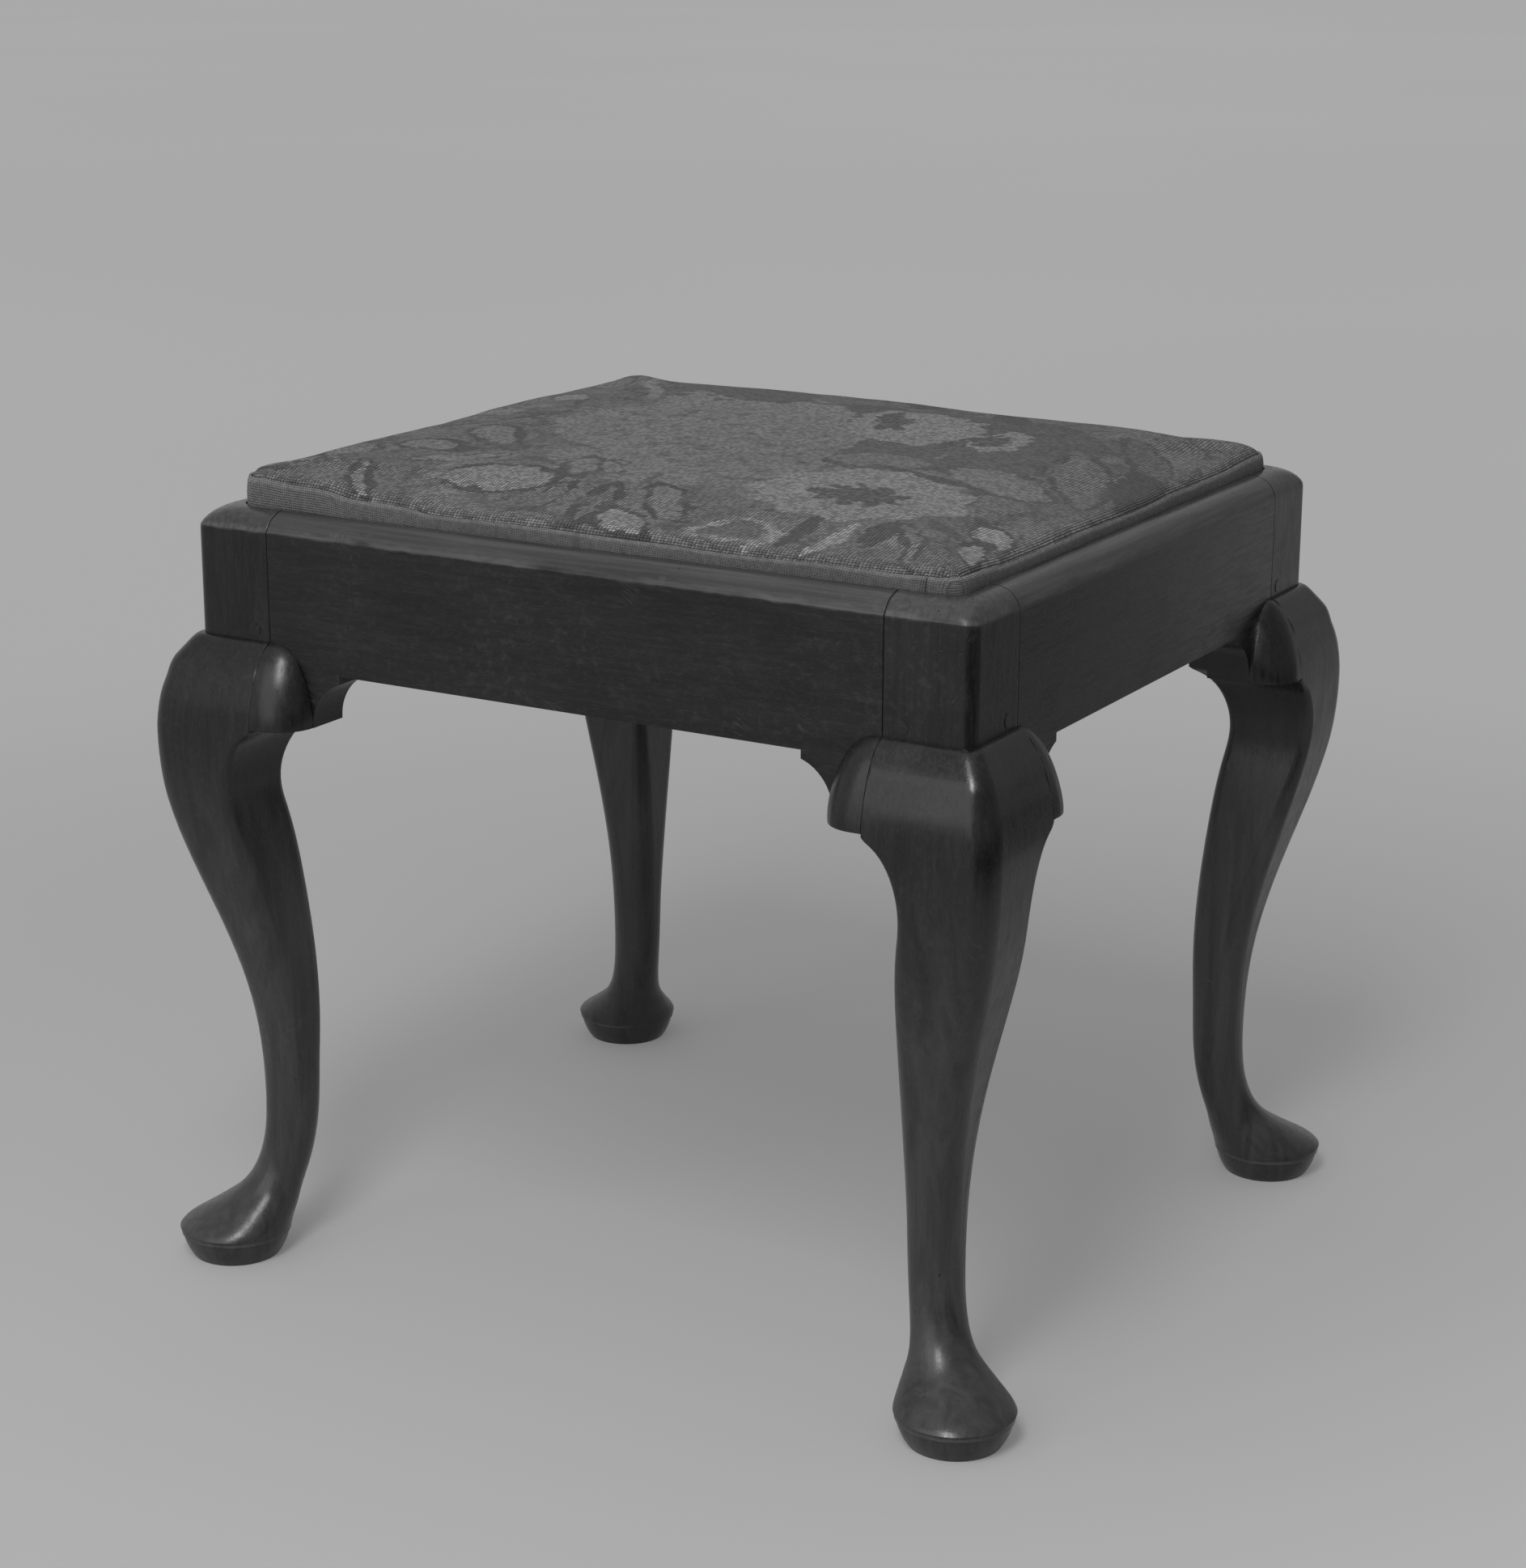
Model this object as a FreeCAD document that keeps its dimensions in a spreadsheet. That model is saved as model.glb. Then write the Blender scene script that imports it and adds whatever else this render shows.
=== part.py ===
import FreeCAD, Part
import math
import os
import Sketcher

# A stool in the Queen Anne manner: four cabriole legs, four rails with shaped
# ends, glued knee ears and a drop-in seat covered in needlework.
# X runs along the long front rail, Y towards the back and Z up. The origin lies
# on the floor under the middle of the stool. All sizes are millimetres.

SIZES = {
    # frame
    "frame_length": 466.0,      # over the outer faces of the posts, along X
    "frame_depth": 420.0,       # over the outer faces of the posts, along Y
    "rail_top": 430.0,          # highest point of the rails above the floor
    "rail_bottom": 348.0,       # straight lower edge of the rails
    "rail_thickness": 25.4,
    "post_width": 48.0,         # square post at the top of each leg
    "post_corner": 7.0,         # rounding of the post's outer corner
    "knee_line": 361.0,         # where the post ends and the knee begins
    "joint_gap": 0.3,           # open seam between a rail or an ear and the leg
    # rounded top edge of the rails and posts
    "front_lip_rise": 9.6,      # height of the rounding on the front and back
    "front_lip_run": 15.0,      # its depth
    "side_lip_rise": 12.0,      # the same on the two sides, where it is fuller
    "side_lip_run": 13.0,
    "lip_corner": 17.0,         # corner radius at the top of the rounding
    "lip_width": 15.5,          # outer face to the rebate
    "rebate_depth": 15.5,       # rail top to the ledge that carries the seat
    # shaped rail ends
    "bracket_bottom": 317.5,    # underside of the rail's end and of the ears
    "bracket_length": 45.0,     # post to the small step
    "bracket_step": 4.5,        # height of the step
    "bracket_cove": 26.0,       # radius of the hollow
    # tenons and their pegs
    "tenon_inset": 11.0,        # outer face to the tenon
    "tenon_thickness": 9.5,
    "tenon_length": 26.0,
    "tenon_bottom": 354.0,
    "tenon_top": 404.0,
    "mortise_end_gap": 1.0,
    "peg_diameter": 7.6,
    "peg_inset": 10.0,          # post's inner side to the middle of the peg
    "peg_above_knee": 5.6,      # knee line to the middle of the peg
    "peg_proud": 0.3,
    "peg_length": 30.0,
    # knee ears
    "ear_length": 27.0,         # from the post along the rail
    "ear_end": 2.0,             # thickness of the ear's thin end
    # pad foot
    "foot_setback": 4.0,        # post corner to the foot's axis, along X and Y
    "foot_base": 24.5,          # radius on the floor
    "foot_side": 30.0,          # radius at the top of the pad's hollowed side
    "foot_side_height": 12.5,
    "foot_side_curve": 34.0,    # radius of the side's curve
    "foot_lip": 0.7,            # how far the lip stands out over the side
    # glue blocks
    "block_length": 36.0,       # along each rail, from the post
    "block_bottom": 358.0,
    "block_height": 46.0,
    # loose seat
    "seat_gap": 0.8,            # between the tape and the rebate
    "tape_thickness": 1.4,
    "tape_width": 15.0,
    "tape_below_edge": 1.4,     # upper edge of the tape, below the seat's edge
    "cover_thickness": 1.5,
    "cover_turn": 20.0,         # width of the cover turned under the seat frame
    "cover_slack": 0.1,         # between the cover and the linen
    "linen_thickness": 0.8,
    "linen_drop": 14.0,         # how far the linen comes down the seat frame
    "seat_corner": 9.0,         # corner radius of the seat frame
    "seat_rail_width": 44.0,
    "seat_rail_height": 16.0,
    "webbing_width": 51.0,
    "webbing_thickness": 1.2,
    "webbing_on_frame": 24.0,    # how far a strip lies on the seat frame
    "webbing_drop": 12.0,       # length over which a crosswise strip comes down to the frame
    "sacking_thickness": 0.8,
    "sacking_on_frame": 12.0,    # how far the sacking lies beyond the opening
    "pad_edge": 3.0,            # height of the hair pad where its edge rolls in
    "pad_roll": 3.8,            # how much higher the roll is
    "pad_roll_depth": 5.0,      # how far the roll draws in over that height
    "pad_crown": 5.2,           # how much higher than the roll its middle is
    "pad_draw": 0.8,            # how far its sides draw in below the roll
    "tack_head": 6.0,           # diameter
    "tack_dome": 0.9,           # height of the head
    "tack_shank": 1.6,          # diameter
    "tack_length": 8.0,         # below the head
    "tack_spacing": 42.0,       # under the seat, along its edge
    "tack_pitch": 16.0,         # across the end of a strip of webbing
    "tack_inset": 8.0,          # under the seat, in from the inner face of the rails
}

# Sections of the leg from the foot up. Each has a height above or below the
# size that it is named with, how far the outer faces stand out from the post's
# faces, how far the section reaches back from them, and the radii of its outer
# corner and of its other corners. A knee section fills the blank that the leg is
# sawn from, so it has no entry of its own for how far it reaches back.
LEG_SECTIONS = {
    "rim": ("floor", 16.5, 27.2, 35.2, 30.6, 30.6),
    "toe": ("floor", 20.5, 23.0, 35.4, 28.6, 28.6),
    "instep": ("floor", 26.0, 14.5, 35.6, 24.4, 24.4),
    "heel": ("floor", 33.0, 4.5, 35.7, 19.5, 19.5),
    "neck": ("floor", 42.0, -4.5, 36.6, 15.4, 15.4),
    "ankle": ("floor", 60.0, -11.6, 40.0, 13.4, 13.4),
    "shin": ("floor", 95.0, -14.2, 42.9, 12.6, 12.6),
    "shank": ("floor", 140.0, -11.6, 44.0, 12.6, 12.2),
    "calf": ("floor", 185.0, -3.0, 42.1, 12.4, 10.4),
    "thigh": ("bracket_bottom", -92.5, 8.1, 38.0, 12.4, 8.0),
    "hollow": ("bracket_bottom", -57.5, 17.0, 32.6, 12.8, 6.0),
    "waist": ("bracket_bottom", -34.5, 20.5, 30.4, 13.0, 5.0),
    "cove": ("bracket_bottom", -18.5, 21.4, 34.4, 13.0, 4.0),
    "cove_top": ("bracket_bottom", -8.5, 21.5, 40.8, 13.0, 3.0),
    "ear_base": ("bracket_bottom", 0.0, 21.0, None, 13.0, None),
    "knee": ("knee_line", -36.0, 20.1, None, 13.0, None),
    "knee_swell": ("knee_line", -28.0, 18.3, None, 12.6, None),
    "knee_slope": ("knee_line", -19.0, 15.4, None, 11.0, None),
    "knee_round": ("knee_line", -10.0, 10.8, None, 9.4, None),
    "knee_edge": ("knee_line", -4.0, 6.2, None, 8.2, None),
    "knee_top": ("knee_line", 0.0, 0.4, None, 7.2, None),
}
SECTION_FIELDS = ("height", "reach", "back", "outer", "inner")

# How much shorter than its full length an ear is at each knee section, and how
# much of its front stays flat before it rolls away to its thin end.
EAR_SECTIONS = {
    "ear_base": (0.4, 6.0),
    "knee": (0.0, 6.0),
    "knee_swell": (0.9, 5.0),
    "knee_slope": (3.6, 4.0),
    "knee_round": (8.0, 3.0),
    "knee_edge": (13.5, 2.4),
    "knee_top": (22.0, 2.0),
}
EAR_FIELDS = ("short", "flat")

# Depths in from the front face at which the rounded top of a post is drawn.
LIP_SECTIONS = {"lip_first": 1.2, "lip_second": 3.6, "lip_third": 7.5}

# Places along the seat where its crown is drawn, as a share of half its depth,
# and the share of the crown's height reached there.
CROWN_SECTIONS = {"end": (1.0, 0.10), "quarter": (0.52, 0.78)}

BLANK_MARGIN = 1.5              # knee sections are drawn this much past the blank
LONG_STRIP_COUNT = 3
CROSS_STRIP_COUNT = 4
TACK_COUNT_PER_END = 3
CROWN_OVERLAP = 2.0             # the crown is drawn this much wider than the pad
CUT_MARGIN = 2.0                # cutting shapes run past what they cut

doc = FreeCAD.newDocument("stool")
sheet = doc.addObject("Spreadsheet::Sheet", "size")


def fill_sheet():
    """Write every driving dimension to the sheet, each with its alias."""
    entries = dict(SIZES)
    for name, (_, *numbers) in LEG_SECTIONS.items():
        for field, number in zip(SECTION_FIELDS, numbers):
            if number is not None:
                entries[f"{name}_{field}"] = number
    for name, numbers in EAR_SECTIONS.items():
        for field, number in zip(EAR_FIELDS, numbers):
            entries[f"ear_at_{name}_{field}"] = number
    entries.update(LIP_SECTIONS)
    for row, (alias, number) in enumerate(entries.items(), start=1):
        sheet.set(f"A{row}", alias.replace("_", " "))
        sheet.set(f"B{row}", str(number))
        sheet.setAlias(f"B{row}", alias)
    doc.recompute()


class Length:
    """A number and the expression that gives it from the sheet."""

    def __init__(self, value, text):
        self.value = value
        self.text = text

    def __add__(self, other):
        other = length(other)
        return Length(self.value + other.value, f"({self.text} + {other.text})")

    def __sub__(self, other):
        other = length(other)
        return Length(self.value - other.value, f"({self.text} - {other.text})")

    def __mul__(self, other):
        other = length(other)
        return Length(self.value * other.value, f"({self.text} * {other.text})")

    def __truediv__(self, other):
        other = length(other)
        return Length(self.value / other.value, f"({self.text} / {other.text})")

    def __neg__(self):
        return Length(-self.value, f"(0 - {self.text})")

    __radd__ = __add__

    def __rsub__(self, other):
        return length(other) - self


def length(number):
    """A plain number as a Length."""
    return number if isinstance(number, Length) else Length(float(number), f"({float(number)})")


def root(number):
    return Length(math.sqrt(number.value), f"sqrt({number.text})")


def size(alias):
    """A cell of the sheet as a Length."""
    return Length(float(sheet.get(alias)), f"size.{alias}")


def bind(thing, path, number):
    """Tie a property, or a sketch's constraint, to the sheet."""
    thing.setExpression(path, length(number).text)


def plane(body, role):
    """One of a body's own origin planes."""
    return next(feature for feature in body.Origin.OriginFeatures if feature.Role == role)


def new_sketch(body, name, role, lift):
    sketch = body.newObject("Sketcher::SketchObject", name)
    sketch.AttachmentSupport = [(plane(body, role), "")]
    sketch.MapMode = "FlatFace"
    lift = length(lift)
    sketch.AttachmentOffset = FreeCAD.Placement(FreeCAD.Vector(0, 0, lift.value), FreeCAD.Rotation())
    bind(sketch, "AttachmentOffset.Base.z", lift)
    return sketch


def fix(sketch, kind, places, number):
    """Add a dimension to a sketch and tie it to the sheet."""
    number = length(number)
    index = sketch.addConstraint(Sketcher.Constraint(kind, *places, number.value))
    bind(sketch, f"Constraints[{index}]", number)


def arc_between(start, end, radius, turn):
    """Arc of less than half a circle from start to end, turning left (1) or right (-1)."""
    chord = end - start
    middle = (start + end) / 2
    left = FreeCAD.Vector(-chord.y, chord.x, 0).normalize()
    rise = math.sqrt(max(radius ** 2 - chord.Length ** 2 / 4, 0.0))
    centre = middle + left * rise * turn
    circle = Part.Circle(centre, FreeCAD.Vector(0, 0, 1), radius)
    first, last = (start, end) if turn > 0 else (end, start)
    return Part.ArcOfCircle(circle, circle.parameter(first), circle.parameter(last))


def draw_outline(sketch, corners):
    """Closed outline. A corner is (x, y), or (x, y, radius, turn) where an arc starts."""
    first_edge = sketch.GeometryCount
    points = [FreeCAD.Vector(length(c[0]).value, length(c[1]).value, 0) for c in corners]
    ends = []
    for index, corner in enumerate(corners):
        start = points[index]
        end = points[(index + 1) % len(points)]
        if len(corner) == 2:
            edge = sketch.addGeometry(Part.LineSegment(start, end), False)
            ends.append((edge, 1, 2))
        else:
            radius, turn = corner[2:]
            edge = sketch.addGeometry(arc_between(start, end, length(radius).value, turn), False)
            ends.append((edge, 1, 2) if turn > 0 else (edge, 2, 1))
    for index, (edge, _, last) in enumerate(ends):
        following, first, _ = ends[(index + 1) % len(ends)]
        sketch.addConstraint(Sketcher.Constraint("Coincident", edge, last, following, first))
    for corner, (edge, first, _) in zip(corners, ends):
        fix(sketch, "DistanceX", (-1, 1, edge, first), corner[0])
        fix(sketch, "DistanceY", (-1, 1, edge, first), corner[1])
        if len(corner) == 4:
            fix(sketch, "Radius", (edge,), corner[2])
    return first_edge


def outline(body, name, role, corners, lift=0):
    sketch = new_sketch(body, name, role, lift)
    draw_outline(sketch, corners)
    return sketch


def disc(body, name, role, x, y, diameter, lift=0):
    sketch = new_sketch(body, name, role, lift)
    centre = FreeCAD.Vector(length(x).value, length(y).value, 0)
    circle = Part.Circle(centre, FreeCAD.Vector(0, 0, 1), diameter.value / 2)
    edge = sketch.addGeometry(circle, False)
    fix(sketch, "DistanceX", (-1, 1, edge, 3), x)
    fix(sketch, "DistanceY", (-1, 1, edge, 3), y)
    fix(sketch, "Radius", (edge,), diameter / 2)
    return sketch


def rectangle(low_x, low_y, high_x, high_y):
    return [(low_x, low_y), (high_x, low_y), (high_x, high_y), (low_x, high_y)]


def rounded_rectangle(half_x, half_y, radius):
    """Corners of a rectangle about the origin with its four corners rounded."""
    return [
        (-half_x + radius, -half_y), (half_x - radius, -half_y, radius, 1),
        (half_x, -half_y + radius), (half_x, half_y - radius, radius, 1),
        (half_x - radius, half_y), (-half_x + radius, half_y, radius, 1),
        (-half_x, half_y - radius), (-half_x, -half_y + radius, radius, 1),
    ]


def new_body(label, x=0, y=0, z=0, turn=0.0):
    """Body with its origin at x, y, z, turned about Z by an angle in degrees."""
    body = doc.addObject("PartDesign::Body", label)
    body.Label = label
    body.Placement = FreeCAD.Placement(
        FreeCAD.Vector(length(x).value, length(y).value, length(z).value),
        FreeCAD.Rotation(FreeCAD.Vector(0, 0, 1), turn),
    )
    for axis, number in zip("xyz", (x, y, z)):
        bind(body, f"Placement.Base.{axis}", number)
    return body


def extrude(kind, body, name, sketch, distance, along_normal):
    feature = body.newObject(kind, name)
    feature.Profile = sketch
    feature.Length = length(distance).value
    bind(feature, "Length", distance)
    feature.Reversed = along_normal != (kind == "PartDesign::Pad")
    return feature


def pad(body, name, sketch, distance, along_normal=True):
    return extrude("PartDesign::Pad", body, name, sketch, distance, along_normal)


def pocket(body, name, sketch, distance, along_normal=False):
    """Cut into a body, and check that the cut took something away."""
    doc.recompute()
    before = body.Shape.Volume
    feature = extrude("PartDesign::Pocket", body, name, sketch, distance, along_normal)
    doc.recompute()
    if body.Shape.Volume >= before:
        raise RuntimeError(f"{name} removes nothing from {body.Label}")
    return feature


def loft(body, name, sketches, ruled=False):
    feature = body.newObject("PartDesign::AdditiveLoft", name)
    feature.Profile = sketches[0]
    feature.Sections = sketches[1:]
    feature.Ruled = ruled
    return feature


def mirrored(label, source, normal, x=0, y=0):
    """The same piece on the other side of an upright plane through x, y."""
    copy = doc.addObject("Part::Mirroring", label)
    copy.Label = label
    copy.Source = source
    copy.Normal = normal
    copy.Base = FreeCAD.Vector(length(x).value, length(y).value, 0)
    bind(copy, "Base.x", x)
    bind(copy, "Base.y", y)
    return copy


def boolean(kind, label, base, tool):
    result = doc.addObject(kind, label)
    result.Label = label
    result.Base = base
    result.Tool = tool
    return result


ACROSS_X = FreeCAD.Vector(1, 0, 0)
ACROSS_Y = FreeCAD.Vector(0, 1, 0)
ACROSS_CORNER = FreeCAD.Vector(1, 1, 0)


def section_size(name, field):
    """One size of a leg section, with its height measured from its datum."""
    if field == "height":
        datum = LEG_SECTIONS[name][0]
        offset = size(f"{name}_height")
        return offset if datum == "floor" else size(datum) + offset
    if LEG_SECTIONS[name][3] is None and field == "back":
        return size("post_width") + BLANK_MARGIN
    if LEG_SECTIONS[name][3] is None and field == "inner":
        return length(BLANK_MARGIN)
    return size(f"{name}_{field}")


def leg_corners(reach, back, outer, inner):
    """Square with rounded corners. The leg's outer faces look along +X and -Y."""
    return [
        (inner - back, -reach), (reach - outer, -reach, outer, 1),
        (reach, outer - reach), (reach, back - inner, inner, 1),
        (reach - inner, back), (inner - back, back, inner, 1),
        (-back, back - inner), (-back, inner - reach, inner, 1),
    ]


def post_corners(front, side):
    """Square post with its outer corner rounded, drawn in from its front and its side."""
    width = size("post_width")
    growth = size("lip_corner") - size("post_corner")
    corner = size("post_corner") + growth * front / size("front_lip_run")
    return [
        (-width, front), (-side - corner, front, corner, 1),
        (-side, front + corner), (-side, width), (-width, width),
    ]


def lip_radius(face):
    run = size(f"{face}_lip_run")
    rise = size(f"{face}_lip_rise")
    return (run * run + rise * rise) / (rise * 2)


def lip_start(face):
    """Height at which the rounded top edge leaves the upright face."""
    return size("rail_top") - size(f"{face}_lip_rise")


def lip_height(inset):
    """Height of the front's rounded top edge at a depth in from the face."""
    radius = lip_radius("front")
    across = size("front_lip_run") - inset
    return size("rail_top") - radius + root(radius * radius - across * across)


def side_inset(height):
    """Depth of the side's rounded top edge at a height."""
    radius = lip_radius("side")
    above = height - size("rail_top") + radius
    return size("side_lip_run") - root(radius * radius - above * above)


def peg_height():
    return size("knee_line") + size("peg_above_knee")


def seat_covering():
    """Linen, cover and tape on one side of the seat frame."""
    return size("linen_thickness") + size("cover_slack") + size("cover_thickness") + size("tape_thickness")


def make_leg(label):
    """Front right leg. Its own origin is the post's outer corner, on the floor."""
    body = new_body(label, size("frame_length") / 2, -size("frame_depth") / 2)
    width = size("post_width")

    # pad of the foot, turned about its own upright axis
    setback = size("foot_setback")
    rim_radius = (section_size("rim", "reach") + section_size("rim", "back")) / 2
    rim_height = section_size("rim", "height")
    foot = new_sketch(body, f"{label}_foot_outline", "XZ_Plane", -setback)
    side_height = size("foot_side_height")
    lip = size("foot_side") + size("foot_lip")
    draw_outline(foot, [
        (-setback, 0), (size("foot_base") - setback, 0, size("foot_side_curve"), 1),
        (size("foot_side") - setback, side_height),
        (lip - setback, side_height + size("foot_lip")),
        (rim_radius - setback, rim_height), (-setback, rim_height),
    ])
    turned = body.newObject("PartDesign::Revolution", f"{label}_foot")
    turned.Profile = foot
    turned.ReferenceAxis = (foot, ["Edge6"])
    turned.Angle = 360.0

    # cabriole leg and knee
    sketches = []
    for name in LEG_SECTIONS:
        fields = [section_size(name, field) for field in SECTION_FIELDS[1:]]
        height = section_size(name, "height")
        sketches.append(outline(body, f"{label}_{name}", "XY_Plane", leg_corners(*fields), height))
    loft(body, f"{label}_cabriole", sketches)

    # post, with the rounded top edge that it shares with the rails
    flush = length(0)
    square = post_corners(flush, flush)
    post = outline(body, f"{label}_post_outline", "XY_Plane", square, size("bracket_bottom"))
    pad(body, f"{label}_post", post, lip_start("side") - size("bracket_bottom"))
    halfway = (lip_start("side") + lip_start("front")) / 2
    lower = [(lip_start("side"), flush, flush)]
    lower += [(height, flush, side_inset(height)) for height in (halfway, lip_start("front"))]
    upper = [lower[-1]]
    for name in LIP_SECTIONS:
        height = lip_height(size(name))
        upper.append((height, size(name), side_inset(height)))
    upper.append((size("rail_top"), size("front_lip_run"), size("side_lip_run")))
    for part_name, levels in (("lower", lower), ("upper", upper)):
        lips = [
            outline(body, f"{label}_{part_name}_lip_{place}", "XY_Plane", post_corners(front, side), height)
            for place, (height, front, side) in enumerate(levels)
        ]
        loft(body, f"{label}_{part_name}_lip", lips)

    # the two inner sides of the blank stay flat from floor to rail
    past = width * 2
    outside = section_size("rim", "reach") * 2
    over = size("rail_top") + CUT_MARGIN
    blank = outline(body, f"{label}_blank_outline", "XY_Plane", [
        (-past, -outside), (-width, -outside), (-width, width), (outside, width),
        (outside, past), (-past, past),
    ], over)
    pocket(body, f"{label}_blank", blank, over + CUT_MARGIN)

    # rebate for the seat
    lip_width = size("lip_width")
    round_corner = size("seat_corner") + seat_covering() + size("seat_gap")
    notch = outline(body, f"{label}_rebate_outline", "XY_Plane", [
        (-past, lip_width), (-lip_width - round_corner, lip_width, round_corner, 1),
        (-lip_width, lip_width + round_corner), (-lip_width, past), (-past, past),
    ], over)
    pocket(body, f"{label}_rebate", notch, size("rebate_depth") + CUT_MARGIN)

    # mortises from the two inner sides, and a peg hole from each outer face
    near = size("tenon_inset")
    far = near + size("tenon_thickness")
    bottom = size("tenon_bottom")
    top = size("tenon_top")
    depth = size("tenon_length") + size("mortise_end_gap")
    long_mortise = outline(
        body, f"{label}_long_mortise_outline", "YZ_Plane", rectangle(near, bottom, far, top), -width)
    pocket(body, f"{label}_long_mortise", long_mortise, depth, along_normal=True)
    short_mortise = outline(
        body, f"{label}_short_mortise_outline", "XZ_Plane", rectangle(-far, bottom, -near, top), -width)
    pocket(body, f"{label}_short_mortise", short_mortise, depth, along_normal=True)
    peg_place = width - size("peg_inset")
    peg_depth = size("peg_length") - size("peg_proud")
    diameter = size("peg_diameter")
    front = disc(body, f"{label}_front_peg_outline", "XZ_Plane", -peg_place, peg_height(), diameter)
    pocket(body, f"{label}_front_peg_hole", front, peg_depth)
    side = disc(body, f"{label}_side_peg_outline", "YZ_Plane", peg_place, peg_height(), diameter)
    pocket(body, f"{label}_side_peg_hole", side, peg_depth)
    return body


def make_ear(label):
    """Ear beside the front right knee, on the front rail. Same origin as the leg."""
    body = new_body(label, size("frame_length") / 2, -size("frame_depth") / 2)
    seam = size("post_width") + size("joint_gap")
    sketches = []
    for name in EAR_SECTIONS:
        reach = section_size(name, "reach")
        end = size("post_width") + size("ear_length") - size(f"ear_at_{name}_short")
        roll = size("post_width") + size(f"ear_at_{name}_flat")
        thin = size("ear_end") * reach / section_size("ear_base", "reach")
        run = end - roll
        rise = reach - thin
        radius = (run * run + rise * rise) / (rise * 2)
        corners = [
            (-end, 0), (-end, -thin, radius, 1), (-roll, -reach), (-seam, -reach), (-seam, 0),
        ]
        sketches.append(outline(body, f"{label}_{name}", "XY_Plane", corners, section_size(name, "height")))
    loft(body, f"{label}_solid", sketches)
    return body


def make_rail(label, face, span, x, y, turn):
    """Rail of a side of the frame. Its own origin is the middle of its outer face."""
    body = new_body(label, x, y, 0, turn)
    post_side = span / 2 - size("post_width")
    shoulder = post_side - size("joint_gap")
    spur = post_side - size("ear_length")
    step = post_side - size("bracket_length")
    top = size("rail_top")
    bottom = size("rail_bottom")
    step_bottom = bottom - size("bracket_step")
    end_bottom = size("bracket_bottom")
    cove = size("bracket_cove")
    thickness = size("rail_thickness")
    front = outline(body, f"{label}_outline", "XZ_Plane", [
        (step, bottom), (step, step_bottom, cove, -1), (spur, end_bottom), (shoulder, end_bottom),
        (shoulder, top), (-shoulder, top),
        (-shoulder, end_bottom), (-spur, end_bottom, cove, -1), (-step, step_bottom), (-step, bottom),
    ])
    pad(body, f"{label}_board", front, thickness, along_normal=False)

    # tenons at both ends, drawn as one bar through the rail
    near = size("tenon_inset")
    far = near + size("tenon_thickness")
    tenon_end = post_side + size("tenon_length")
    tenon = outline(
        body, f"{label}_tenon_outline", "YZ_Plane",
        rectangle(near, size("tenon_bottom"), far, size("tenon_top")), -tenon_end,
    )
    pad(body, f"{label}_tenons", tenon, tenon_end * 2)

    # rounded top edge, and the rebate behind it
    run = size(f"{face}_lip_run")
    above = top + CUT_MARGIN
    before = -CUT_MARGIN
    end = shoulder + CUT_MARGIN
    lip = outline(body, f"{label}_lip_outline", "YZ_Plane", [
        (0, lip_start(face), lip_radius(face), -1), (run, top),
        (run, above), (before, above), (before, lip_start(face)),
    ], -end)
    pocket(body, f"{label}_lip", lip, end * 2, along_normal=True)
    rebate = outline(
        body, f"{label}_rebate_outline", "YZ_Plane",
        rectangle(size("lip_width"), top - size("rebate_depth"), thickness + CUT_MARGIN, above), -end,
    )
    pocket(body, f"{label}_rebate", rebate, end * 2, along_normal=True)

    # peg holes through the tenons
    for side, name in ((1, "right"), (-1, "left")):
        place = (post_side + size("peg_inset")) * side
        hole = disc(body, f"{label}_{name}_peg_outline", "XZ_Plane", place, peg_height(), size("peg_diameter"))
        pocket(body, f"{label}_{name}_peg_hole", hole, thickness)
    return body


def make_peg(name, x, y, turn):
    """One tenon peg, lying along its own Y from just outside the leg's face."""
    peg = doc.addObject("Part::Cylinder", name)
    bind(peg, "Radius", size("peg_diameter") / 2)
    bind(peg, "Height", size("peg_length"))
    upright = FreeCAD.Rotation(FreeCAD.Vector(1, 0, 0), -90)
    peg.Placement = FreeCAD.Placement(
        FreeCAD.Vector(x.value, y.value, peg_height().value),
        FreeCAD.Rotation(FreeCAD.Vector(0, 0, 1), turn) * upright,
    )
    for axis, number in zip("xyz", (x, y, peg_height())):
        bind(peg, f"Placement.Base.{axis}", number)
    return peg


def group(label, members):
    compound = doc.addObject("Part::Compound", label)
    compound.Label = label
    compound.Links = members
    return compound


def make_pegs(label):
    """Eight pegs: one from each outer face of each post."""
    half_length = size("frame_length") / 2
    half_depth = size("frame_depth") / 2
    place = size("post_width") - size("peg_inset")
    proud = size("peg_proud")
    pegs = []
    for side in (1, -1):
        for end in (1, -1):
            number = len(pegs)
            pegs.append(make_peg(
                f"{label}_{number}", (half_length - place) * side, (half_depth + proud) * -end,
                0 if end > 0 else 180))
            pegs.append(make_peg(
                f"{label}_{number + 1}", (half_length + proud) * side, (half_depth - place) * -end,
                90 if side > 0 else -90))
    return group(label, pegs)


def make_glue_block(label):
    """Block behind the front right post, glued to both rails."""
    body = new_body(label, size("frame_length") / 2, -size("frame_depth") / 2)
    width = size("post_width")
    thickness = size("rail_thickness")
    end = width + size("block_length")
    plan = outline(body, f"{label}_outline", "XY_Plane", [
        (-end, thickness), (-width, thickness), (-width, width), (-thickness, width), (-thickness, end),
    ], size("block_bottom"))
    pad(body, f"{label}_solid", plan, size("block_height"))
    return body


def seat_half(axis_size, grow):
    """Half the seat frame's outer size, plus what lies on it."""
    return size(axis_size) / 2 - size("lip_width") - size("seat_gap") - seat_covering() + grow


def ledge_height():
    return size("rail_top") - size("rebate_depth")


def seat_frame_bottom():
    return ledge_height() + size("cover_thickness")


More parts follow.
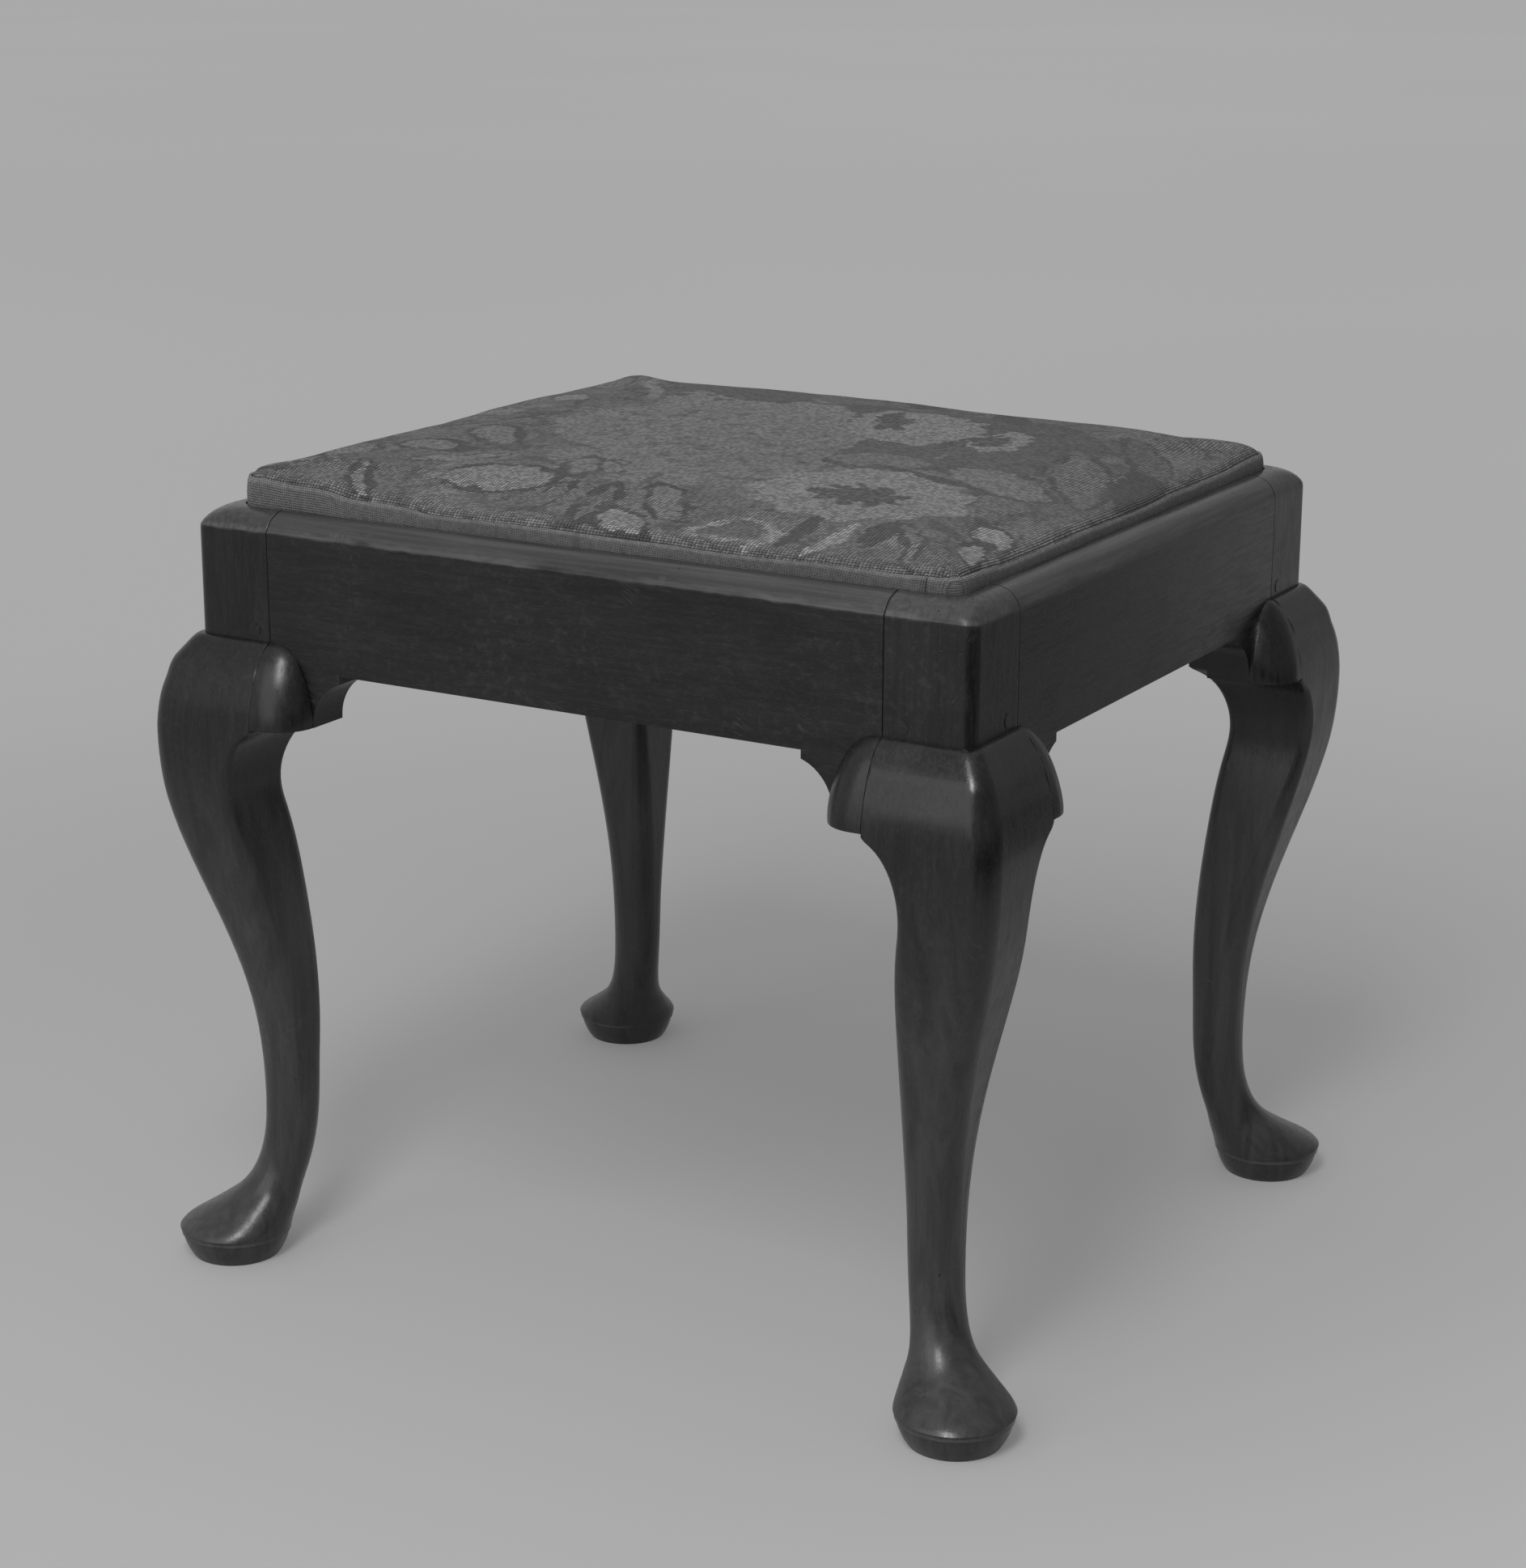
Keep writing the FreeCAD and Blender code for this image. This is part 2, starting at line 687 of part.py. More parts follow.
def seat_frame_top():
    return seat_frame_bottom() + size("seat_rail_height")


def suspension_height():
    """Webbing in two layers, and the sacking on it."""
    return size("webbing_thickness") * 2 + size("sacking_thickness")


def seat_edge(grow):
    """Height of the pad's edge, or of a layer over it."""
    return seat_frame_top() + suspension_height() + size("pad_edge") + grow


def make_seat_rail(label, half_length, half_depth, upper_lap, turn):
    """Member along the near side of the loose seat's frame, lapped at both ends."""
    body = new_body(label, 0, 0, seat_frame_bottom(), turn)
    radius = size("seat_corner")
    width = size("seat_rail_width")
    height = size("seat_rail_height")
    plan = outline(body, f"{label}_outline", "XY_Plane", [
        (-half_length + radius, -half_depth), (half_length - radius, -half_depth, radius, 1),
        (half_length, -half_depth + radius), (half_length, -half_depth + width),
        (-half_length, -half_depth + width), (-half_length, -half_depth + radius, radius, 1),
    ])
    pad(body, f"{label}_solid", plan, height)
    inner = half_length - width
    low = -half_depth - CUT_MARGIN
    high = -half_depth + width + CUT_MARGIN
    outer = half_length + CUT_MARGIN
    for name, first, last in (("left", -outer, -inner), ("right", inner, outer)):
        lift = height / 2 if upper_lap else length(0)
        lap = outline(body, f"{label}_{name}_lap_outline", "XY_Plane", rectangle(first, low, last, high), lift)
        pocket(body, f"{label}_{name}_lap", lap, height / 2, along_normal=True)
    return body


def make_box(name, low, high):
    """Box between two corners, each a triple of Lengths."""
    box = doc.addObject("Part::Box", name)
    box.Label = name
    for prop, first, last in zip(("Length", "Width", "Height"), low, high):
        setattr(box, prop, (last - first).value)
        bind(box, prop, last - first)
    box.Placement = FreeCAD.Placement(FreeCAD.Vector(*(part.value for part in low)), FreeCAD.Rotation())
    for axis, number in zip("xyz", low):
        bind(box, f"Placement.Base.{axis}", number)
    return box


def opening_half(axis_size):
    return seat_half(axis_size, 0) - size("seat_rail_width")


def strip_places(axis_size, count):
    """Middles of the strips of webbing, evenly spaced over the opening."""
    pitch = opening_half(axis_size) * 2 / count
    return [pitch * (place - (count - 1) / 2) for place in range(count)]


def make_webbing(label, along, across, count, lifted):
    """Strips of webbing in one direction, tacked to the seat frame at their ends."""
    edge = opening_half(along)
    reach = edge + size("webbing_on_frame")
    bottom = length(0)
    top = size("webbing_thickness")
    plain = rectangle(-reach, bottom, reach, top)
    shoulder = edge - size("webbing_drop")
    over = [
        (-reach, bottom), (-edge, bottom), (-shoulder, top), (shoulder, top), (edge, bottom),
        (reach, bottom), (reach, top), (edge, top), (shoulder, top * 2), (-shoulder, top * 2),
        (-edge, top), (-reach, top),
    ]
    strips = []
    for number, place in enumerate(strip_places(across, count)):
        plan, turn = ((place, 0), 90) if lifted else ((0, place), 0)
        strip = new_body(f"{label}_{number}", *plan, seat_frame_top(), turn)
        profile = outline(strip, f"{strip.Label}_outline", "XZ_Plane", over if lifted else plain,
                          -size("webbing_width") / 2)
        pad(strip, f"{strip.Label}_solid", profile, size("webbing_width"))
        strips.append(strip)
    return group(label, strips)


def make_sacking(label):
    reach_x = opening_half("frame_length") + size("sacking_on_frame")
    reach_y = opening_half("frame_depth") + size("sacking_on_frame")
    low_z = seat_frame_top() + size("webbing_thickness") * 2
    high_z = low_z + size("sacking_thickness")
    return make_box(label, (-reach_x, -reach_y, low_z), (reach_x, reach_y, high_z))


def make_seat_form(name, grow, bottom):
    """Solid of the loose seat out to one of its layers, with its crown."""
    half_x = seat_half("frame_length", grow)
    half_y = seat_half("frame_depth", grow)
    radius = size("seat_corner") + grow
    crown = size("pad_crown")
    edge = seat_edge(grow)
    roll = edge + size("pad_roll")
    drawn = size("pad_draw") + size("pad_roll_depth")
    ceiling = roll + crown + CUT_MARGIN

    sides = new_body(f"{name}_sides")
    foot = outline(sides, f"{name}_foot", "XY_Plane", rounded_rectangle(half_x, half_y, radius), bottom)
    pad(sides, f"{name}_wall", foot, seat_frame_top() - bottom)
    levels = (
        (seat_frame_top(), length(0)), (edge, size("pad_draw")), (roll, drawn), (ceiling, drawn),
    )
    rings = [
        outline(sides, f"{name}_ring_{place}", "XY_Plane",
                rounded_rectangle(half_x - draw, half_y - draw, radius), height)
        for place, (height, draw) in enumerate(levels)
    ]
    loft(sides, f"{name}_roll", rings, ruled=True)

    top = new_body(f"{name}_top")
    reach_x = half_x + CROWN_OVERLAP
    reach_y = half_y + CROWN_OVERLAP
    end, quarter = CROWN_SECTIONS["end"], CROWN_SECTIONS["quarter"]
    places = [(-end[0], end[1]), (-quarter[0], quarter[1]), (0.0, 1.0), quarter, end]
    sketches = []
    for number, (place, share) in enumerate(places):
        rise = crown * share
        arc = (reach_x * reach_x + rise * rise) / (rise * 2)
        corners = [
            (-reach_x, bottom), (reach_x, bottom), (reach_x, roll, arc, 1), (-reach_x, roll),
        ]
        # the upright plane's own normal is -Y
        sketches.append(outline(top, f"{name}_crown_{number}", "XZ_Plane", corners, reach_y * -place))
    loft(top, f"{name}_crown", sketches)
    return boolean("Part::Common", name, sides, top)


def make_tape(label):
    """Woven band round the side of the seat, over the cover."""
    inner = size("linen_thickness") + size("cover_slack") + size("cover_thickness")
    outer = inner + size("tape_thickness")
    bottom = seat_edge(inner) - size("tape_below_edge") - size("tape_width")
    body = new_body(label, 0, 0, bottom)
    ring = outline(body, f"{label}_outer", "XY_Plane", rounded_rectangle(
        seat_half("frame_length", outer), seat_half("frame_depth", outer), size("seat_corner") + outer))
    pad(body, f"{label}_solid", ring, size("tape_width"))
    hole = outline(body, f"{label}_inner", "XY_Plane", rounded_rectangle(
        seat_half("frame_length", inner), seat_half("frame_depth", inner), size("seat_corner") + inner))
    pocket(body, f"{label}_hole", hole, size("tape_width"), along_normal=True)
    return body


def tack(place, up):
    """Tack with its domed head on a surface, its shank going down (1) or up (-1)."""
    dome = size("tack_dome").value
    radius = size("tack_head").value / 2
    sphere_radius = (radius ** 2 + dome ** 2) / (2 * dome)
    axis = FreeCAD.Vector(0, 0, up)
    ball = Part.makeSphere(sphere_radius, place + axis * (dome - sphere_radius))
    cap = Part.makeCylinder(radius * 1.5, dome * 2, place, axis)
    shank = Part.makeCylinder(size("tack_shank").value / 2, size("tack_length").value, place, -axis)
    return ball.common(cap).fuse(shank)


def tack_group(label, places, up):
    """Tacks as one node of separate solids, placed from the sheet's sizes."""
    feature = doc.addObject("Part::Feature", label)
    feature.Label = label
    feature.Shape = Part.makeCompound([tack(place, up) for place in places])
    feature.Placement = FreeCAD.Placement()
    return feature


def webbing_tack_places():
    """Heads on the ends of the strips, beyond the sacking."""
    places = []
    pitch = size("tack_pitch").value
    inset = ((size("sacking_on_frame") + size("webbing_on_frame")) / 2).value
    height = (seat_frame_top() + size("webbing_thickness")).value
    layout = (
        ("frame_length", "frame_depth", LONG_STRIP_COUNT, False),
        ("frame_depth", "frame_length", CROSS_STRIP_COUNT, True),
    )
    for along, across, count, swap in layout:
        reach = opening_half(along).value + inset
        for strip in strip_places(across, count):
            for number in range(TACK_COUNT_PER_END):
                offset = strip.value + (number - (TACK_COUNT_PER_END - 1) / 2) * pitch
                for end in (reach, -reach):
                    plan = (offset, end) if swap else (end, offset)
                    places.append(FreeCAD.Vector(*plan, height))
    return places


def cover_tack_places():
    """Heads under the seat, along the turned-in edge of the cover."""
    places = []
    height = ledge_height().value
    to_row = (size("rail_thickness") + size("tack_inset")).value
    to_end = (size("post_width") + size("tack_inset")).value
    half_length = size("frame_length").value / 2
    half_depth = size("frame_depth").value / 2
    sides = ((half_length - to_end, half_depth - to_row, False), (half_depth - to_end, half_length - to_row, True))
    spacing = size("tack_spacing").value
    for reach, row, swap in sides:
        count = int(2 * reach / spacing) + 1
        for number in range(count):
            along = spacing * (number - (count - 1) / 2)
            for edge in (row, -row):
                plan = (edge, along) if swap else (along, edge)
                places.append(FreeCAD.Vector(*plan, height))
    return places


def build_frame():
    """Legs, ears, rails, pegs and glue blocks, by label."""
    half_length = size("frame_length") / 2
    half_depth = size("frame_depth") / 2
    pieces = {}

    def four_corners(pattern, source):
        pieces[pattern.format("front", "right")] = source
        left = mirrored(pattern.format("front", "left"), source, ACROSS_X)
        pieces[left.Label] = left
        for side, piece in (("right", source), ("left", left)):
            back = mirrored(pattern.format("back", side), piece, ACROSS_Y)
            pieces[back.Label] = back

    four_corners("leg_{}_{}", make_leg("leg_front_right"))
    long_ear = make_ear("ear_front_right")
    four_corners("ear_{0}_{1}", long_ear)
    short_ear = mirrored("ear_right_front", long_ear, ACROSS_CORNER, half_length, -half_depth)
    four_corners("ear_{1}_{0}", short_ear)
    four_corners("glue_block_{}_{}", make_glue_block("glue_block_front_right"))

    front = make_rail("rail_front", "front", size("frame_length"), 0, -half_depth, 0)
    right = make_rail("rail_right", "side", size("frame_depth"), half_length, 0, 90)
    pieces["rail_front"] = front
    pieces["rail_right"] = right
    pieces["rail_back"] = mirrored("rail_back", front, ACROSS_Y)
    pieces["rail_left"] = mirrored("rail_left", right, ACROSS_X)
    pieces["tenon_pegs"] = make_pegs("tenon_pegs")
    return pieces


def build_seat():
    """Pieces of the loose seat, by label."""
    pieces = {}
    half_x = seat_half("frame_length", 0)
    half_y = seat_half("frame_depth", 0)
    pieces["seat_rail_front"] = make_seat_rail("seat_rail_front", half_x, half_y, True, 0)
    pieces["seat_rail_back"] = mirrored("seat_rail_back", pieces["seat_rail_front"], ACROSS_Y)
    pieces["seat_rail_right"] = make_seat_rail("seat_rail_right", half_y, half_x, False, 90)
    pieces["seat_rail_left"] = mirrored("seat_rail_left", pieces["seat_rail_right"], ACROSS_X)
    pieces["webbing_lengthwise"] = make_webbing(
        "webbing_lengthwise", "frame_length", "frame_depth", LONG_STRIP_COUNT, False)
    pieces["webbing_crosswise"] = make_webbing(
        "webbing_crosswise", "frame_depth", "frame_length", CROSS_STRIP_COUNT, True)
    pieces["sacking"] = make_sacking("sacking")

    # hair pad: the seat's form above its frame, less the suspension under it
    linen = size("linen_thickness")
    slack = size("cover_slack")
    pad_form = make_seat_form("pad_form", length(0), seat_frame_top() - size("linen_drop"))
    seat_top = seat_edge(0) + size("pad_roll") + size("pad_crown") + CUT_MARGIN
    above = make_box("pad_space", (-half_x, -half_y, seat_frame_top()), (half_x, half_y, seat_top))
    pad_block = boolean("Part::Common", "pad_block", pad_form, above)
    suspension = group("suspension", [
        pieces["webbing_lengthwise"], pieces["webbing_crosswise"], pieces["sacking"]])
    pieces["stuffing"] = boolean("Part::Cut", "stuffing", pad_block, suspension)

    # linen over the pad, down to partway on the seat frame
    linen_form = make_seat_form("linen_form", linen, seat_frame_top() - size("linen_drop"))
    pieces["undercover"] = boolean("Part::Cut", "undercover", linen_form, pad_form)

    # needlework cover, turned under the seat frame
    cover_inside = make_seat_form("cover_inside", linen + slack, seat_frame_bottom())
    cover_outside = make_seat_form("cover_outside", linen + slack + size("cover_thickness"), ledge_height())
    cover_shell = boolean("Part::Cut", "cover_shell", cover_outside, cover_inside)
    open_x = half_x - size("cover_turn")
    open_y = half_y - size("cover_turn")
    opening = make_box(
        "cover_opening", (-open_x, -open_y, ledge_height() - CUT_MARGIN),
        (open_x, open_y, seat_frame_bottom() + size("seat_rail_height") / 2))
    pieces["needlework_cover"] = boolean("Part::Cut", "needlework_cover", cover_shell, opening)
    pieces["edge_tape"] = make_tape("edge_tape")
    pieces["webbing_tacks"] = tack_group("webbing_tacks", webbing_tack_places(), 1)
    pieces["cover_tacks"] = tack_group("cover_tacks", cover_tack_places(), -1)
    return pieces


def check_and_write(pieces):
    """Stop on anything that failed or came out empty, then write one file a piece."""
    for thing in doc.Objects:
        if "Invalid" in thing.State or "Error" in thing.State:
            raise RuntimeError(f"{thing.Label} failed: {thing.State}")
    for label, piece in pieces.items():
        if piece.Shape.isNull() or not piece.Shape.isValid() or not piece.Shape.Solids:
            raise RuntimeError(f"{label} has no valid solid")
    os.makedirs("parts", exist_ok=True)
    for label, piece in pieces.items():
        piece.Shape.exportStep(f"parts/{label}.step")


fill_sheet()
all_pieces = build_frame()
all_pieces.update(build_seat())
doc.recompute()
check_and_write(all_pieces)
print(f"{len(all_pieces)} pieces written")
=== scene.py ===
"""A cabriole-leg footstool with a needlework slip seat, dressed for a studio picture."""
import math

import bmesh
import bpy
from mathutils import Matrix, Vector, noise


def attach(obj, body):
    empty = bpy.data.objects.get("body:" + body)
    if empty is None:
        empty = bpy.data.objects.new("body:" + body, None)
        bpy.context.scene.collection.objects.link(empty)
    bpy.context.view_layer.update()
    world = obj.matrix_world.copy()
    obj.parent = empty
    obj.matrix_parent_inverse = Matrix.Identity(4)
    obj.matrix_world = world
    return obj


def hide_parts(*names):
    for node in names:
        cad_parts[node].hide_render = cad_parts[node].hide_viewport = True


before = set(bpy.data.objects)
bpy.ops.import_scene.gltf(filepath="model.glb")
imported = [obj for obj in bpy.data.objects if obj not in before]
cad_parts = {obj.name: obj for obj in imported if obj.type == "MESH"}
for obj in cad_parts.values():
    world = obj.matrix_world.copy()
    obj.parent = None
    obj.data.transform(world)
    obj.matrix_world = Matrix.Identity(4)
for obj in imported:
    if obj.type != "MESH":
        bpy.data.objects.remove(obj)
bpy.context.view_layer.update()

# Needlework cover, outside, in metres like all that follows.
COVER_HALF = (0.2153, 0.1923)
COVER_CORNER = 0.0114
COVER_BOTTOM = 0.4146
COVER_THICKNESS = 0.0015
COVER_TURNED_UNDER = 0.021

# The seat's rounded edge, its crown, and how the edge swells and settles.
SEAT_EDGE_HEIGHT = 0.4400
SEAT_ROLL_HEIGHT = 0.4458
SEAT_ROLL_INSET = 0.0180
SEAT_CROWN = 0.0028
SEAT_VOXEL = 0.0048
SWELL_FRAMES = 20
SWELL_LIMIT = 0.0035
SWELL_AT_EDGE = 0.15
SWELL_FADE = 0.03
HELD_HEIGHT = 0.4385
HELD_FADE = 0.003
SETTLING_FOOT = 0.4262
SETTLING_FADE = 0.012
SEAT_WAVES = ((14.0, 0.3, 0.0011), (45.0, 4.0, 0.00035))  # times per metre, seed, height

# Layers under the cover.
LAYER_GAP = 0.0001
LINEN_THICKNESS = 0.0008
LINEN_HEM = 0.4195
PAD_MERGE = 0.0006
SEAT_FRAME_TOP = 0.432
FRAME_OPENING = (0.1825, 0.1595)
SACKING_HALF = (0.1805, 0.1575)
SACKING_BOTTOM = 0.43445
SACKING_TOP = 0.4352
SACKING_THICKNESS = 0.0006
WEBBING_WIDTH = 0.051
WEBBING_THICKNESS = 0.0011
WEBBING_LIFT = 0.0012
WEBBING_RISE = 0.047
LENGTHWISE_PLACES = (-0.09727, 0.0, 0.09727)
CROSSWISE_PLACES = (-0.12667, -0.04222, 0.04222, 0.12667)

# Tape round the seat; each level is a share of its height and how far it draws in there.
TAPE_HALF = (0.21668, 0.19368)
TAPE_CORNER = 0.0128
TAPE_LOW, TAPE_HIGH = 0.4243, 0.4391
TAPE_LEVELS = ((0.0, 0.0010), (0.14, 0.0004), (0.34, 0.0), (0.6, 0.0), (0.84, 0.0004),
               (1.0, 0.0011))
TAPE_THICKNESS = 0.0012
TAPE_JOINT = 0.1985
TAPE_JOINT_HALF = 0.00035

# Show wood: its tone, the seams beside the posts, and the edges where the polish is worn,
# with a painted highlight along them.
POLISH_TONE = 0.0065
POST_SEAMS = (0.185, 0.162)
LIP_HEIGHT = 0.4212
TOE_HEIGHT = 0.0143
CORNERS = ("front_left", "front_right", "back_left", "back_right")

# Studio: paper, the even grey behind it, the world's own light, cards and lamps.
FLOOR_TONE = 0.42
FLOOR_RADIUS = 30.0
BACKDROP = 0.40
WORLD_TONE = 0.47
WORLD_DARK_SIDE = (0.985, 0.174, 0.0)
CARD_RADIUS = 1.05
CARD_LOW, CARD_HIGH = 0.002, 0.34
LAMP_TARGET = (0.0, 0.0, 0.3)

# The photograph's camera: its place, its angles in degrees, and its focus in picture heights.
CAMERA_PLACE = (0.909517, -1.564729, 0.779562)
CAMERA_TURN, CAMERA_PITCH, CAMERA_ROLL = 30.268, 16.077, 0.154
CAMERA_FOCUS = 4111.4 / 1938.0
FILM_HEIGHT = 36.0


# ---------------------------------------------------------------- shapes

def rounded_plan(shape, half, radius, height, segments=6):
    """A flat face with rounded corners, to be drawn up into a block or a band."""
    corners = bmesh.ops.create_grid(shape, x_segments=1, y_segments=1, size=1.0)["verts"]
    bmesh.ops.scale(shape, vec=(half[0], half[1], 1.0), verts=corners)
    bmesh.ops.translate(shape, vec=(0.0, 0.0, height), verts=corners)
    bmesh.ops.bevel(shape, geom=corners, offset=radius, offset_type="OFFSET", affect="VERTICES",
                    segments=segments, profile=0.5, material=-1, clamp_overlap=True)
    return list(shape.faces)


def drawn_in(shape, verts, half, inset):
    """Bring an outline in from its sides by the same amount all round."""
    factor = ((half[0] - inset) / half[0], (half[1] - inset) / half[1], 1.0)
    bmesh.ops.scale(shape, vec=factor, verts=verts)


def of_kind(parts, kind):
    """Only the faces, edges or corners among some parts."""
    return [part for part in parts if isinstance(part, kind)]


def placed(name, shape):
    """Turn finished modelling into an object in the scene."""
    mesh = bpy.data.meshes.new(name)
    shape.to_mesh(mesh)
    shape.free()
    piece = bpy.data.objects.new(name, mesh)
    bpy.context.scene.collection.objects.link(piece)
    return piece


def finished(name, shape, body, material):
    """Close the modelling of a smooth piece and give it its body and finish."""
    bmesh.ops.recalc_face_normals(shape, faces=shape.faces[:])
    piece = placed(name, shape)
    mesh = piece.data
    mesh.materials.append(material)
    mesh.polygons.foreach_set("use_smooth", [True] * len(mesh.polygons))
    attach(piece, body)
    return piece


def applied(piece):
    """Bake a piece's modifiers into its mesh."""
    evaluated = piece.evaluated_get(bpy.context.evaluated_depsgraph_get())
    mesh = bpy.data.meshes.new_from_object(evaluated)
    piece.modifiers.clear()
    old = piece.data
    piece.data = mesh
    bpy.data.meshes.remove(old)
    return piece


def walled(piece, thickness, offset=-1.0):
    """Give a sheet its thickness."""
    wall = piece.modifiers.new("thickness", "SOLIDIFY")
    wall.thickness = thickness
    wall.offset = offset
    wall.use_even_offset = False
    return applied(piece)


# How much higher or lower the worn seat's edge sits than it was made: place, then millimetres.
SEAT_SETTLING = (
    (-0.215, -0.192, 6.0), (-0.175, -0.192, 4.6), (-0.125, -0.192, 0.4), (-0.075, -0.192, -2.4),
    (0.030, -0.192, -2.0), (0.100, -0.192, -3.0), (0.165, -0.192, -2.4), (0.215, -0.192, -1.2),
    (0.215, -0.120, -3.2), (0.215, 0.000, -3.6), (0.215, 0.110, -2.4), (0.215, 0.192, -0.2),
    (0.100, 0.192, 2.4), (-0.050, 0.192, 4.6), (-0.215, 0.192, 4.2), (-0.215, 0.060, 5.2),
    (-0.215, -0.080, 5.6), (-0.060, 0.020, 1.6), (0.070, -0.020, 0.6), (-0.100, -0.090, 0.8),
    (0.110, 0.090, 0.6),
)


def settling(x, y, z):
    """Rise of the seat's soft edge at a place, none at the foot of the edge."""
    total = weight = 0.0
    for px, py, rise in SEAT_SETTLING:
        near = 1.0 / (((x - px) ** 2 + (y - py) ** 2) ** 1.5 + 1e-6)
        total += rise * near
        weight += near
    share = min(1.0, max(0.0, (z - SETTLING_FOOT) / SETTLING_FADE))
    return 0.001 * total / weight * share


def canvas_place(x, y, z):
    """Where a place on the seat's outside lies on the needlework laid flat."""
    from_x, from_y = COVER_HALF[0] - abs(x), COVER_HALF[1] - abs(y)
    out_x, out_y = max(0.0, SEAT_ROLL_INSET - from_x), max(0.0, SEAT_ROLL_INSET - from_y)
    if from_x < from_y:
        out_y *= 0.2
    else:
        out_x *= 0.2
    out = Vector((math.copysign(out_x, x), math.copysign(out_y, y)))
    if out.length > 0.0:
        out.normalize()
    drop = max(0.0, SEAT_ROLL_HEIGHT - z)
    if z < COVER_BOTTOM + 0.001:
        drop += 2.0 * max(0.0, min(from_x, from_y))
    return Vector((x + out.x * drop, y + out.y * drop, 0.0))


def seat_plump(x, y):
    """Share of the crown at a place on the seat: full in the middle, none at the edge."""
    across = max(0.0, 1.0 - (x / COVER_HALF[0]) ** 2)
    deep = max(0.0, 1.0 - (y / COVER_HALF[1]) ** 2)
    return (across * deep) ** 0.55


def seat_block():
    """The slip seat's outside before the stuffing swells it."""
    shape = bmesh.new()
    faces = rounded_plan(shape, COVER_HALF, COVER_CORNER, COVER_BOTTOM)
    level, inset = COVER_BOTTOM, 0.0
    steps = ((SEAT_EDGE_HEIGHT, 0.0006), (SEAT_EDGE_HEIGHT + 0.0024, 0.0026),
             (SEAT_EDGE_HEIGHT + 0.0044, 0.0078), (SEAT_ROLL_HEIGHT, SEAT_ROLL_INSET))
    for height, draw in steps:
        grown = bmesh.ops.extrude_face_region(shape, geom=faces)["geom"]
        faces = of_kind(grown, bmesh.types.BMFace)
        verts = of_kind(grown, bmesh.types.BMVert)
        bmesh.ops.translate(shape, vec=(0.0, 0.0, height - level), verts=verts)
        drawn_in(shape, verts, [side - inset for side in COVER_HALF], draw - inset)
        level, inset = height, draw
    bmesh.ops.recalc_face_normals(shape, faces=shape.faces[:])
    block = placed("seat_block", shape)
    cells = block.modifiers.new("cells", "REMESH")
    cells.mode = "VOXEL"
    cells.voxel_size = SEAT_VOXEL
    return applied(block)


def seat_form():
    """The slip seat's outside: a remeshed block crowned, swelled as cloth over hair, and worn."""
    block = seat_block()
    held = block.vertex_groups.new(name="held")
    canvas = block.data.attributes.new("canvas", "FLOAT_VECTOR", "POINT")
    places = [canvas_place(*vert.co) for vert in block.data.vertices]
    canvas.data.foreach_set("vector", [axis for place in places for axis in place])
    for vert in block.data.vertices:
        x, y, z = vert.co
        if z > SEAT_EDGE_HEIGHT:
            rise = (z - SEAT_EDGE_HEIGHT) / (SEAT_ROLL_HEIGHT - SEAT_EDGE_HEIGHT)
            vert.co.z += SEAT_CROWN * seat_plump(x, y) * min(1.0, rise)
        firm = 1.0 - (z - HELD_HEIGHT) / HELD_FADE
        held.add([vert.index], min(1.0, max(0.0, firm)), "REPLACE")
    flat = [vert.co.copy() for vert in block.data.vertices]

    cloth = block.modifiers.new("swell", "CLOTH")
    stuff = cloth.settings
    stuff.quality = 6
    stuff.mass = 0.4
    stuff.tension_stiffness = stuff.compression_stiffness = 25.0
    stuff.bending_stiffness = 6.0
    stuff.vertex_group_mass = "held"
    stuff.use_pressure = True
    stuff.uniform_pressure_force = 4.0
    stuff.effector_weights.gravity = 0.0
    cloth.collision_settings.use_collision = False
    cloth.point_cache.frame_start = 1
    cloth.point_cache.frame_end = SWELL_FRAMES
    scene = bpy.context.scene
    for step in range(1, SWELL_FRAMES + 1):
        scene.frame_set(step)
    applied(block)
    scene.frame_set(1)

    for vert, start in zip(block.data.vertices, flat):
        from_edge = min(COVER_HALF[0] - abs(start.x), COVER_HALF[1] - abs(start.y))
        move = (vert.co - start) * min(1.0, SWELL_AT_EDGE + max(0.0, from_edge) / SWELL_FADE)
        if move.length > 1e-9:
            move *= math.tanh(move.length / SWELL_LIMIT) * SWELL_LIMIT / move.length
        vert.co = start + move
        x, y, z = vert.co
        if z > SEAT_EDGE_HEIGHT:
            vert.co.z += sum(noise.noise(Vector((x * often, y * often, seed))) * height
                             for often, seed, height in SEAT_WAVES)
        vert.co.z += settling(x, y, z)
    fine = block.modifiers.new("fine", "SUBSURF")
    fine.levels = fine.render_levels = 1
    return applied(block)


def layer_of(form, name, inward, keep, body, material, lowest=None, merge=0.0):
    """One layer of the seat: the form brought inward, kept where keep says so."""
    shape = bmesh.new()
    shape.from_mesh(form.data)
    shape.normal_update()
    moves = [(vert, vert.normal.copy()) for vert in shape.verts]
    for vert, normal in moves:
        vert.co -= normal * inward
        if lowest is not None:
            vert.co.z = max(vert.co.z, lowest(vert.co.x, vert.co.y))
    if merge:
        bmesh.ops.remove_doubles(shape, verts=shape.verts[:], dist=merge)
    drop = [face for face in shape.faces if not keep(face.calc_center_median())]
    if drop:
        bmesh.ops.delete(shape, geom=drop, context="FACES")
    return finished(name, shape, body, material)


def needlework_cover(form, material):
    """Needlework drawn over the pad, down the seat's sides and turned under its frame."""
    def kept(centre):
        turned = min(COVER_HALF[0] - abs(centre.x), COVER_HALF[1] - abs(centre.y))
        return centre.z > COVER_BOTTOM + 0.002 or turned < COVER_TURNED_UNDER
    cover = layer_of(form, "needlework", 0.0, kept, "slip_seat", material)
    walled(cover, COVER_THICKNESS)
    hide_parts("needlework_cover")
    return cover


